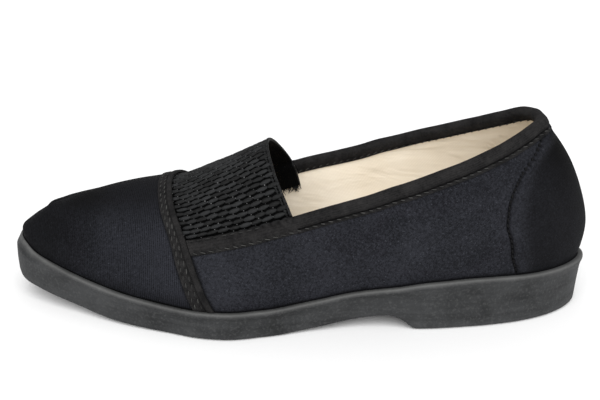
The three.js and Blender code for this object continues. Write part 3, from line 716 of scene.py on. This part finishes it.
def make_outsole():
    side = lambda share: (lambda at: lerp(underside_height(at), rim_height(at), share))
    over = lambda height: (lambda at: underside_height(at) + height)
    under = lambda depth, toe=0.0: (lambda at: rim_height(at) - depth - toe * at_toe(at))
    inside = lambda distance, toe=0.0: (lambda at: -lerp(distance, toe, at_toe(at)))
    rings = [(inside(draft + sole_edge, sole_edge - toe_bulge / 2), underside_height, 0.0)]
    for turn in np.radians([15, 35, 55, 75, 90]):
        reach, rise = sole_edge * (1 - math.sin(turn)), sole_edge * (1 - math.cos(turn))
        rings.append((inside(draft + reach, reach - toe_bulge / 2), over(rise), 0.0))
    for share in np.linspace(0.2, 0.78, 8):
        hollow, bulge = 0.2 * math.sin(math.pi * share), toe_bulge * (1 - abs(share - 0.5) ** 1.5)
        rings.append((inside(draft * (1 - share) + hollow, -bulge), side(share), 0.0))
    middle, half = rim_bead_height / 2 + 0.1, rim_bead_height / 2
    # lip values mark where the rubber is painted paler: partly wear, partly a painted highlight
    for turn, lip in zip(np.radians([-80, -50, -20, 5, 30, 55, 75]), (0, 0, 0.1, 0.35, 0.7, 1, 1)):
        out, rise = rim_bead * (0.2 + 0.8 * math.cos(turn)), half * math.sin(turn)
        toe_out = lerp(-toe_bulge * 0.6, toe_round * 0.8, (math.sin(turn) + 1) / 2)
        toe_drop = toe_round * (1 - math.sin(turn)) / 2
        rings.append((inside(-out, toe_out), under(middle - rise, toe_drop), lip))
    rings.append((inside(0.25, toe_round + 0.1), under(0.03), 1.0))
    rings.append((inside(0.7, toe_round + 0.2), under(0.0), 0.7))
    rings.append((lambda at: np.full(at.shape, -rim_width), under(0.1), 0.2))
    rings.append((lambda at: np.full(at.shape, -rim_width), under(rim_depth), 0.0))
    sheets = Sheets()
    loop_piece(sheets, round_loop(440, (0.313, 0.32, 0.335, 0.35)), rings)
    sheets.build("sole_unit", [RUBBER], "rubber", ("outsole",), sharp=50)


def make_insole():
    edge = -rim_width - gap - wall - 0.9
    over = lambda height: (lambda at: rim_height(at) - rim_depth + gap + height)
    flat = lambda reach: (lambda at: np.full(at.shape, edge - reach))
    profile = ((0, 0), (0, 2.4), (0.2, 2.75), (0.7, 2.95), (2, 3.0))
    rings = [(flat(reach), over(height), 0) for reach, height in profile]
    sheets = Sheets()
    loop_piece(sheets, round_loop(240), rings)
    sheets.build("sock_lining", [LINING], "lining", ("insole",), sharp=60)


make_outsole()
make_insole()


# Upper

edge_angle = float(angle_of(vamp_edge_at))
throat_angle = float(angle_of(throat_at))


def crease_relief(angle, up, place):
    """Soft troughs and ridges of the worn-in cloth, the seam's trough and the pull of the lasting, in mm."""
    at = share_of(angle)
    relief = np.zeros(np.broadcast(angle, up).shape)
    for values in CREASES:
        row = dict(zip(CREASE_COLUMNS, values))
        centre = last_point(row["side"] * angle_of(row["at"]), row["up"])
        rise = unit(last_point(row["side"] * angle_of(row["at"]), row["up"] + 0.05) - centre)
        turn = math.radians(row["turn"])
        normal = last_normal(row["side"] * angle_of(row["at"]), row["up"])
        along = unit(rise * math.cos(turn) - np.cross(normal, rise) * math.sin(turn) * row["side"])
        away = place - centre
        run = away @ along
        side = np.linalg.norm(away - run[..., None] * along, axis=-1)
        same = np.where(np.sign(angle) == row["side"], 1.0, 0.0)
        relief -= same * row["depth"] * np.exp(-(run / row["long"]) ** 2 - (side / row["wide"]) ** 2)
    seam = (counter_at(np.clip(up, 0, 1)) - at) * length
    inside = smoothstep(up, -0.01, 0.05) * (up <= 1)
    relief -= inside * bell(seam, 0.4, 0.65)
    relief += inside * 0.7 * bell(seam, 4.2, 3.2)
    x, z = place[..., 0], place[..., 2]
    waves = np.sin(x / 9.7 + z / 15 + 1.3) * np.sin(z / 8.3 - x / 23 + 0.4)
    relief += 0.16 * waves * smoothstep(up, 0, 0.15)
    puckers = 0.1 * np.sin(angle * 46) * bell(np.clip(up, 0, 2), 0, 0.18) * smoothstep(at, 0.6, 0.8)
    return relief + puckers


def painted_shade_mask(angle, up):
    """Painted shade for the cloth's colour: along the counter's seam, at the foot by the sole, beside the
    tape's edges, over the toe and the vamp's crown, and at the heel.
    """
    at = share_of(angle)
    behind = (counter_at(np.clip(up, 0, 1)) - at) * length
    seam = bell(behind, 0.4, 0.6) * (up <= 1)
    low = smoothstep(at, 0.6, 0.7) * smoothstep(-up, -0.6, 0)
    foot = 0.9 * bell(np.clip(up, 0, 2), 0, 0.03) + 0.4 * low
    to_tape = np.minimum(np.abs(at - tape_front_at), np.abs(at - tape_back_at)) * length
    toe = 0.7 * smoothstep(at, 0.78, 0.97)
    heel = 0.62 * smoothstep(behind, 1, 12) + 0.5 * smoothstep(at, 0.08, 0.0) * smoothstep(up, 0.2, 1)
    crown = 0.65 * smoothstep(up, 1.1, 1.75) * (1 - smoothstep(at, 0.84, 0.98))
    return np.max(np.stack([seam, np.minimum(foot, 1), 0.8 * bell(to_tape, 0, 0.8), toe + crown, heel]), 0)


def upper_grids(outwards, relief, rows):
    """The wall over the whole round, and the vamp's arch, with cloth coordinates."""
    front = np.linspace(-math.pi, -edge_angle, 110)
    seam_end = float(angle_of(0.175))
    half = np.r_[np.linspace(0, seam_end, 230)[:-1], np.linspace(seam_end, edge_angle, 100)]
    angles = np.r_[front[:-1], -half[::-1], half[1:], -front[:-1][::-1]]
    ups = np.r_[-1, -0.01, np.linspace(0.012, 1, rows)]
    grid = [np.broadcast_to(part, (len(ups), len(angles))) for part in (angles[None], ups[:, None])]
    arch_ups = np.linspace(1, 2, 34)
    arch = [np.broadcast_to(part, (len(arch_ups), len(front))) for part in (front[None], arch_ups[:, None])]

    def sheet(angle, up):
        place = last_point(angle, up)
        out = outwards + (relief(angle, up, place) if relief else 0)
        points = skin(angle, up, out)
        steps = np.linalg.norm(np.diff(points, axis=0), axis=-1)
        climb = np.vstack([np.zeros(points.shape[1]), np.cumsum(steps, axis=0)])
        return points, climb

    wall_points, climb = sheet(*grid)
    run = run_along(wall_points[1])
    vamp = np.abs(angles) >= edge_angle - 1e-9
    u = np.where(vamp[None], wall_points[..., 0], run[None])
    # the cloth's third coordinate carries the painted shade
    parts = [(wall_points, np.stack([u, climb, painted_shade_mask(*grid)], -1))]
    top = climb[-1, : len(front)]
    for side in (1, -1):
        points, rise = sheet(side * arch[0], arch[1])
        cloth = np.stack([points[..., 0], rise + top[None], painted_shade_mask(side * arch[0], arch[1])], -1)
        parts.append((points, cloth))
    return parts, vamp, len(front)


def cloth_shell(name, face, back, materials, slot, kinds, edge_kind):
    """The outer and inner layers of the upper or its lining, joined along their edges."""
    parts, vamp, fronts = face
    inner = back[0]
    sheets = Sheets()
    for layer in (parts, inner):
        rows = layer[0][0].shape[0] - 1
        sheets.grid(*layer[0], kind=np.broadcast_to(kinds, (rows, len(kinds))).reshape(-1))
        for part in layer[1:]:
            sheets.grid(*part)
    behind = slice(fronts - 1, len(vamp) - fronts + 1)
    sheets.grid(np.stack([parts[0][0][0], inner[0][0][0]]))
    sheets.grid(np.stack([parts[0][0][-1, behind], inner[0][0][-1, behind]]), kind=edge_kind)
    for k in (1, 2):
        sheets.grid(np.stack([parts[k][0][:, -1], inner[k][0][:, -1]]))
    sheets.build(name, materials, slot, ("upper",), sharp=60)


def make_upper():
    face, back = upper_grids(0.0, crease_relief, 64), upper_grids(-1.0, None, 12)
    vamp = face[1]
    kinds = np.where(vamp[:-1] & vamp[1:], 0, 1)
    cloth_shell("canvas_upper", face, back, [VAMP, QUARTER], "canvas", kinds, 0)


def make_lining():
    def soft(angle, up, place):
        x, z = place[..., 0], place[..., 2]
        waves = 0.22 * np.sin(x / 7.5 + 2 * np.sin(z / 14)) * np.sin(z / 10 + x / 31)
        return waves * smoothstep(up, 0.05, 0.3) * (1 - smoothstep(up, 0.7, 0.95))

    face, back = upper_grids(-wall, soft, 28), upper_grids(-1.05, None, 12)
    kinds = np.zeros(len(face[1]) - 1, int)
    cloth_shell("upper_lining", face, back, [LINING, QUARTER], "lining", kinds, 1)


make_upper()
make_lining()


# Gore

def gore_place(at, s):
    """Angle and up of a place on the gore: s is -1 and 1 at the upper's edges, 0 on the ridge."""
    side = np.where(np.asarray(s) < 0, -1.0, 1.0)
    angle = side * angle_of(at)
    over = np.abs(s)
    share = gore_tuck / wall_length(np.abs(angle))
    up = np.where(over <= 1, 2 - over, 1 - (over - 1) * share)
    return angle, up, over


def gore_depth(at, over):
    reach = np.linalg.norm(last_point(-angle_of(at), 1.0) - last_point(-angle_of(at), 2.0), axis=-1)
    above = (1 - over) * reach
    return lerp(wall + gap, gore_recess, smoothstep(above, 0.2, gore_rise))


def gore_point(at, s, sunk):
    angle, up, over = gore_place(at, s)
    return skin(angle, up, -gore_depth(at, over) - sunk), last_normal(angle, up)


def gore_frame(at, s, sunk):
    """Places on the gore, and unit directions along the shoe, across it and outwards."""
    centre, normal = gore_point(at, s, sunk)
    ahead, _ = gore_point(at + 0.5 / length, s, sunk)
    along = unit(ahead - centre)
    return centre, along, unit(np.cross(normal, along)), normal


selvedge_at = throat_at + 2.6 / length
gore_front_at = vamp_edge_at - 0.6 / length


def make_gore():
    ats = np.linspace(throat_at + 0.6 / length, gore_front_at, 60)
    s = np.linspace(-2, 2, 261)
    grid = [np.broadcast_to(part, (len(ats), len(s))) for part in (ats[:, None], s[None])]
    face, _ = gore_point(*grid, 1.0)
    back, _ = gore_point(*grid, 1.55)
    cloth = np.stack([grid[0] * length, grid[1] * 42, np.zeros_like(grid[0])], -1)
    sheets = Sheets()
    sheets.slab(face, back, cloth, kind=1)

    # bricks of thick elastic cord, staggered from row to row
    rows, pitch = 34, 4.5
    step = 2.0 / rows
    count = int((gore_front_at - selvedge_at) * length / pitch) + 2
    brick_at, brick_s = [], []
    for row in range(rows + 12):
        s_row = -1 - 6 * step + (row + 0.5) * step
        for n in range(count):
            at = selvedge_at + (n + (0.5 if row % 2 else 0.0)) * pitch / length
            if at < gore_front_at - 1.2 / length:
                brick_at.append(at)
                brick_s.append(s_row)
    brick_at = np.array(brick_at) + rng.uniform(-0.12, 0.12, len(brick_at)) / length
    brick_s = np.array(brick_s) + rng.uniform(-0.04, 0.04, len(brick_s)) * step
    centre, along, across, normal = gore_frame(brick_at, brick_s, 0.5)
    beside, _ = gore_point(brick_at, brick_s + step * 0.5, 0.5)
    width = 2 * np.linalg.norm(beside - centre, axis=-1)
    tilt = np.radians(rng.uniform(1, 6, len(centre)))[:, None] * np.where(brick_s < 0, 1, -1)[:, None]
    along, across = swing(along, across, tilt)
    long = rng.uniform(4.9, 5.4, len(centre))[:, None]
    wide = (np.minimum(width, 3.3) * rng.uniform(0.72, 0.84, len(centre)))[:, None]
    axes = np.stack([along * long, across * wide, normal * 1.3], 1)
    add_many(sheets, pillow(8, 10, 0.95), centre, axes, rng.uniform(0, 1, len(centre)))

    # knots of the ground weave, between the bricks' ends
    knot_at = brick_at + pitch / 2 / length
    keep = (knot_at < gore_front_at - 0.5 / length) & (np.abs(brick_s) < 1.05)
    for ahead, beside, share in ((0.0, 0.08, 0.6), (0.9, 0.48, 0.9)):
        chosen = keep & (rng.uniform(0, 1, len(keep)) < share)
        spot_at = np.minimum(knot_at[chosen] + ahead / length, gore_front_at)
        spot_s = brick_s[chosen] + beside * step
        centre, along, across, normal = gore_frame(spot_at, spot_s, 0.42)
        size = rng.uniform(0.3, 0.6, len(centre))[:, None]
        axes = np.stack([along * size, across * size * 1.2, normal * 0.5], 1)
        add_many(sheets, pillow(5, 6, 1.0), centre, axes, rng.uniform(0, 1, len(centre)) ** 2, kind=2)
    sheets.build("elastic_gore", [ELASTIC, GROUND, KNOT], "elastic", ("gore",), sharp=70, weld=None)


def tube(sheets, line, radius, sides, tint):
    """A closed round tube along a line of points."""
    line = np.asarray(line, float)
    along = unit(np.gradient(line, axis=0))
    guide = np.array([0.3, 0.2, 0.93])
    first = unit(np.cross(along, guide))
    second = np.cross(along, first)
    turn = np.linspace(0, 2 * math.pi, sides, endpoint=False)
    radius = np.broadcast_to(radius, len(line))
    rings = (line[:, None] + (first[:, None] * np.cos(turn)[None, :, None]
                              + second[:, None] * np.sin(turn)[None, :, None]) * radius[:, None, None])
    first_end, last_end = (np.repeat(end[:, None], sides, 1) for end in (line[:1], line[-1:]))
    closed = np.concatenate([first_end, rings, last_end])
    sheets.grid(closed, np.broadcast_to([tint, 0.0, 0.0], closed.shape), wrap=True)


def make_selvedge():
    """The gore's folded back edge: two cords with small binding threads across, and raw ends inside."""
    sheets = Sheets()
    s = np.linspace(-2, 2, 241)
    for offset, radius, sunk in ((0.7, 0.62, 0.7), (2.1, 0.4, 0.75)):
        at = np.full(s.shape, throat_at + offset / length)
        line, _ = gore_point(at, s, sunk)
        tube(sheets, line, radius, 10, 0.3)
    for offset, sunk, wide, count, lean in ((0.7, 0.3, 1.4, 125, 28), (2.1, 0.55, 1.6, 100, -20)):
        marks = np.linspace(-1.95, 1.95, count)
        at = np.full(marks.shape, throat_at + offset / length)
        centre, along, across, normal = gore_frame(at, marks, sunk)
        along, across = swing(along, across, math.radians(lean))
        axes = np.stack([along * wide, across * 0.7, normal * 1.1], 1)
        add_many(sheets, pillow(5, 6, 0.9), centre, axes, rng.uniform(0, 1, len(centre)))
    for sign in (-1, 1):
        for _ in range(60):
            at = throat_at + rng.uniform(0.2, 40) / length * rng.uniform(0.1, 1)
            foot, normal = gore_point(np.array([at]), np.array([sign * 1.99]), 1.1)
            reach = rng.uniform(0.8, 3.2)
            bend = rng.uniform(-1, 1, 3) * np.array([1.4, 0.5, 0.5])
            t = np.linspace(0, 1, 6)[:, None]
            line = foot + np.array([0, 0, -1.0]) * reach * t + bend * t**2
            line[:, 1] -= sign * 0.4 * t[:, 0]
            tube(sheets, line, np.linspace(0.2, 0.08, 6), 5, rng.uniform(0, 0.6))
    sheets.build("gore_selvedge", [ELASTIC], "elastic", (), sharp=70, weld=None)


make_gore()
make_selvedge()


# Vamp tape

def over_the_foot(count, low):
    """Sides and ups of a line from the lateral rim over the ridge to the medial rim."""
    half = np.r_[np.linspace(low, 1, count // 2), np.linspace(1, 2, count // 2)[1:]]
    return np.r_[-np.ones(len(half)), np.ones(len(half) - 1)], np.r_[half, half[:-1][::-1]]


TAPE_ROWS = (0.22, 0.53)


def make_tape():
    side, ups = over_the_foot(190, 0.003)
    s = np.r_[0, 0, 0.02, np.linspace(0.05, 0.95, 30), 0.98, 1, 1]
    lift = 0.7 + 0.5 * smoothstep(s, 0.66, 0.74) * (1 - smoothstep(s, 0.9, 1) * 0.6)
    lift = lift - 0.2 * bell(s, 0.65, 0.03)
    lift[[0, -1]], lift[[1, -2]] = 0.02, (0.45, 0.55)
    for row in TAPE_ROWS:
        lift -= 0.16 * bell(s, row, 0.035)
    at = lerp(tape_front_at, tape_back_at, s)
    angle = side[:, None] * angle_of(at)[None]
    up = np.broadcast_to(ups[:, None], angle.shape)
    run = run_along(last_point(angle[:, 5], ups))
    gathers = gathers_at(run)[:, None]
    rows = sum(bell(s, row, 0.09) for row in TAPE_ROWS)[None]
    ripple = 0.22 * gathers * rows * (lift[None] > 0.5)
    face = skin(angle, up, lift[None] - ripple)
    back = skin(angle, up, np.full(angle.shape, 0.02))
    # painted shade in the puckers at the stitch rows and in the groove before the roll
    shade = np.maximum(0.7 * gathers * rows, 0.6 * bell(s, 0.65, 0.03)[None])
    cloth = np.stack([np.broadcast_to(run[:, None], angle.shape), np.broadcast_to(s[None] * 9, angle.shape),
                      shade], -1)
    sheets = Sheets()
    sheets.slab(face, back, cloth)
    sheets.build("vamp_band", [TAPE], "tape", ("vamp_tape",), sharp=60)

    threads = Sheets()
    spec = {"pitch": stitch_pitch, "long": 2.3, "wide": 0.42, "high": 0.42, "skew": -14}
    for row in TAPE_ROWS:
        row_angle = side * angle_of(lerp(tape_front_at, tape_back_at, row))
        line = np.stack([row_angle, ups, np.full(len(ups), 0.6)], -1)
        stitch_row(threads, line[4:-4], spec)
    return threads


threads = make_tape()


# Collar binding

def ring_points(angle, profile):
    """Points round the collar: below the edge line in mm, and out from the skin in mm."""
    below, out = profile[..., 0], profile[..., 1]
    long = wall_length(angle)[:, None]
    up = 1 - np.maximum(below, 0) / long
    lift = unit(last_point(angle, np.ones(len(angle))) - last_point(angle, 1 - 2 / long[:, 0]))
    above = np.maximum(-below, 0)[..., None]
    return skin(np.broadcast_to(angle[:, None], up.shape), up, out) + lift[:, None] * above


def arc(centre, reach, start, end, count):
    turn = np.radians(np.linspace(start, end, count))
    return [(centre[0] - reach[0] * math.sin(t), centre[1] + reach[1] * math.cos(t)) for t in turn]


def make_binding():
    roll_low = 3.9
    collar = [(roll_low + 1.9, 0.02), (roll_low + 1.85, 0.5), (roll_low + 1.55, 0.82), (roll_low + 1.0, 0.9),
              (roll_low + 0.5, 0.7), (roll_low + 0.15, 0.3), (roll_low - 0.15, 0.6)]
    collar += [(roll_low - 0.9, 1.45), (1.8, 1.75), (0.8, 1.75)]
    collar += arc((0.1, -0.75), (1.55, 2.4), 10, 170, 11)
    collar += [(0.8, -3.2), (1.8, -3.3), (roll_low - 0.9, -3.15), (roll_low - 0.15, -2.85)]
    inner_flange = ((0.25, -2.65), (0.9, -2.7), (1.4, -2.6), (1.5, -2.05))
    collar += [(roll_low + below, out) for below, out in inner_flange]
    collar = np.array(collar)
    angles = np.linspace(-throat_angle, throat_angle, 420)
    run = run_along(last_point(angles, np.ones(len(angles))))
    profile = np.broadcast_to(collar[None], (len(angles), *collar.shape)).copy()
    flange = bell(collar[:, 0], roll_low + 0.6, 0.7)
    gathers = gathers_at(run)
    profile[..., 1] -= np.where(collar[:, 1] > 0, 1, -1) * flange * 0.45 * gathers[:, None]
    soft = 0.1 * np.sin(run / 5.3) + 0.08 * np.sin(run / 2.9 + 1)
    puff = np.clip(1 - np.abs(collar[:, 0] - 1) / 3, 0, 1) * (collar[:, 1] > 0)
    profile[..., 1] += soft[:, None] * puff
    crease = 0.7 * bell(run, run[-1] * 0.57, 1.3)
    profile[..., 1] += crease[:, None] * np.clip(1 - np.abs(collar[:, 0] - 1) / 3, 0, 1) * (collar[:, 1] < 0)
    narrow = 0.9 * smoothstep(1.3 - np.abs(angles), 0, 0.35)[:, None]
    profile[..., 0] -= narrow * (collar[:, 1] < 0) * smoothstep(collar[:, 0], roll_low - 1.2, roll_low + 0.2)
    points = ring_points(angles, profile)
    # painted shade in the groove under the roll and in the stitch puckers of the flange, carried in the
    # cloth's mask
    groove = bell(collar[:, 0], roll_low + 0.15, 0.3) * (collar[:, 1] > 0)
    cloth = np.stack([np.broadcast_to(run[:, None], points.shape[:2]),
                      np.broadcast_to(np.linspace(0, 18, len(collar)), points.shape[:2]),
                      np.maximum(flange * gathers[:, None], groove)], -1)
    sheets = Sheets()
    sheets.strand(points, cloth)

    # flat strips along both sides of the gore
    strip = np.array([(5.5, 0.02), (5.45, 0.5), (5.1, 0.72), (4.6, 0.62), (4.0, 0.82), (2.4, 0.9),
                      (0.6, 0.85), (0.0, 0.66), (-0.5, 0.8), (-1.0, 0.7), (-1.15, 0.4), (-1.1, 0.02),
                      (0.0, 0.02), (2.5, 0.02)])
    rolled = np.array([(5.6, 0.02), (5.55, 0.45), (5.2, 0.62), (4.65, 0.62), (4.1, 0.7), (2.4, 1.7),
                       (0.8, 1.75), (0.0, 1.65), (-0.7, 1.4), (-1.1, 1.0), (-1.3, 0.4), (-1.2, 0.02),
                       (0.0, 0.02), (2.5, 0.02)])
    front_angle = float(angle_of(tape_back_at - 0.3 / length))
    for sign in (-1, 1):
        angles = sign * np.linspace(throat_angle - 0.004, front_angle, 110)
        run = run_along(last_point(angles, np.ones(len(angles))))
        blend = smoothstep(run, 0, 9)[:, None, None]
        profile = rolled[None] * (1 - blend) + strip[None] * blend
        wavy = bell(strip[:, 0], 4.6, 0.8) + bell(strip[:, 0], -0.5, 0.8)
        ripple = 0.1 * np.sin(2 * math.pi * run / stitch_pitch)[:, None]
        profile[..., 1] += ripple * wavy * (strip[:, 1] > 0.1)
        points = ring_points(angles, profile)
        # painted shade in the stitch puckers, carried in the cloth's mask
        cloth = np.stack([np.broadcast_to(run[:, None], points.shape[:2]),
                          np.broadcast_to(np.linspace(0, 9, len(strip)), points.shape[:2]),
                          wavy * gathers_at(run)[:, None]], -1)
        sheets.strand(points, cloth)
    sheets.build("collar_tape", [TAPE], "tape", ("collar_binding",), sharp=60)


def collar_stitches():
    spec = {"pitch": stitch_pitch, "long": 2.2, "wide": 0.4, "high": 0.42, "skew": -20}
    front_angle = float(angle_of(tape_back_at - 0.6 / length))

    def row(low, high, below, out):
        angles = np.linspace(low, high, 400)
        return np.stack([angles, 1 - below / wall_length(angles), np.full(len(angles), out)], -1)

    stitch_row(threads, row(-front_angle, front_angle, 4.6, 0.72), spec)
    stitch_row(threads, row(-throat_angle, throat_angle, 4.0, -2.9), spec)
    for sign in (-1, 1):
        angles = sign * np.linspace(throat_angle + 0.1, front_angle, 120)
        line = ring_points(angles, np.broadcast_to(np.array([[-0.45, 0.8]]), (len(angles), 1, 2)))[:, 0]
        normal = last_normal(angles, np.ones(len(angles)))
        points, along, across, outwards = stitch_places(line, normal, stitch_pitch)
        axes = np.stack([along * 2.3, across * 0.42, outwards * 0.42], 1)
        add_many(threads, pillow(6, 8, 0.85), points, axes, rng.uniform(-0.4, 0.2, len(points)))
    threads.build("pale_stitches", [THREAD], "tape", (), sharp=70, weld=None)


def counter_seam():
    seam = Sheets()
    spec = {"pitch": 2.5, "long": 1.9, "wide": 0.8, "high": 0.6, "skew": 14}
    ups = np.linspace(0.03, 0.92, 160)
    at = counter_at(ups) - 0.4 / length
    for sign in (-1, 1):
        line = np.stack([sign * angle_of(at), ups, np.full(len(ups), -0.35)], -1)
        stitch_row(seam, line, spec)
    seam.build("counter_stitches", [DARK_THREAD], "tape", (), sharp=70, weld=None)


make_binding()
collar_stitches()
counter_seam()


# Studio: pale floor, soft light and the photo's camera

def make_floor():
    mesh = bpy.data.meshes.new("floor")
    reach = 6.0
    mesh.from_pydata([(-reach, -reach, 0), (reach, -reach, 0), (reach, reach, 0), (-reach, reach, 0)], [],
                     [(0, 1, 2, 3)])
    floor = bpy.data.objects.new("floor", mesh)
    floor.location.z = -0.0002
    bpy.context.scene.collection.objects.link(floor)
    material, tree, shader = new_material("floor_white")
    shader.inputs["Base Color"].default_value = (0.95, 0.95, 0.95, 1)
    shader.inputs["Roughness"].default_value = 0.9
    shader.inputs["Specular IOR Level"].default_value = 0.1
    mesh.materials.append(material)


def soft_sun(name, azimuth, height, strength, spread):
    """A wide soft light from far off. Azimuth 0 is the camera's side, and it turns towards the heel."""
    data = bpy.data.lights.new(name, "SUN")
    data.energy, data.angle = strength, spread
    lamp = bpy.data.objects.new(name, data)
    turn, rise = math.radians(azimuth), math.radians(height)
    towards = Vector((math.sin(turn) * math.cos(rise), -math.cos(turn) * math.cos(rise), math.sin(rise)))
    lamp.rotation_euler = towards.to_track_quat("Z", "Y").to_euler()
    bpy.context.scene.collection.objects.link(lamp)


def make_world(strength):
    world = bpy.data.worlds.new("studio")
    world.use_nodes = True
    background = world.node_tree.nodes["Background"]
    background.inputs["Color"].default_value = (1, 1, 1, 1)
    background.inputs["Strength"].default_value = strength
    bpy.context.scene.world = world


def make_camera():
    place = np.array([-4.3, -346.2, 180.7]) + ORIGIN
    yaw, pitch, roll, focal = 0.0096, 0.3707, 0.0156, 839.8  # radians, and pixels of a 600 pixel width
    ahead = np.array([math.sin(yaw) * math.cos(pitch), math.cos(yaw) * math.cos(pitch), -math.sin(pitch)])
    right = np.array([math.cos(yaw), -math.sin(yaw), 0.0])
    above = np.cross(right, ahead)
    across = math.cos(roll) * right + math.sin(roll) * above
    upright = -math.sin(roll) * right + math.cos(roll) * above
    data = bpy.data.cameras.new("camera")
    data.sensor_width, data.sensor_fit = 36.0, "HORIZONTAL"
    data.lens = focal * 36.0 / 600
    data.clip_start, data.clip_end = 0.01, 50
    camera = bpy.data.objects.new("camera", data)
    rows = np.stack([across, upright, -ahead, place * MM], -1).tolist()
    camera.matrix_world = Matrix([*rows, (0, 0, 0, 1)])
    bpy.context.scene.collection.objects.link(camera)
    bpy.context.scene.camera = camera


make_floor()
make_world(0.62)
soft_sun("key", 0, 44, 2.75, 1.2)
make_camera()
bpy.context.scene.view_settings.view_transform = "Standard"
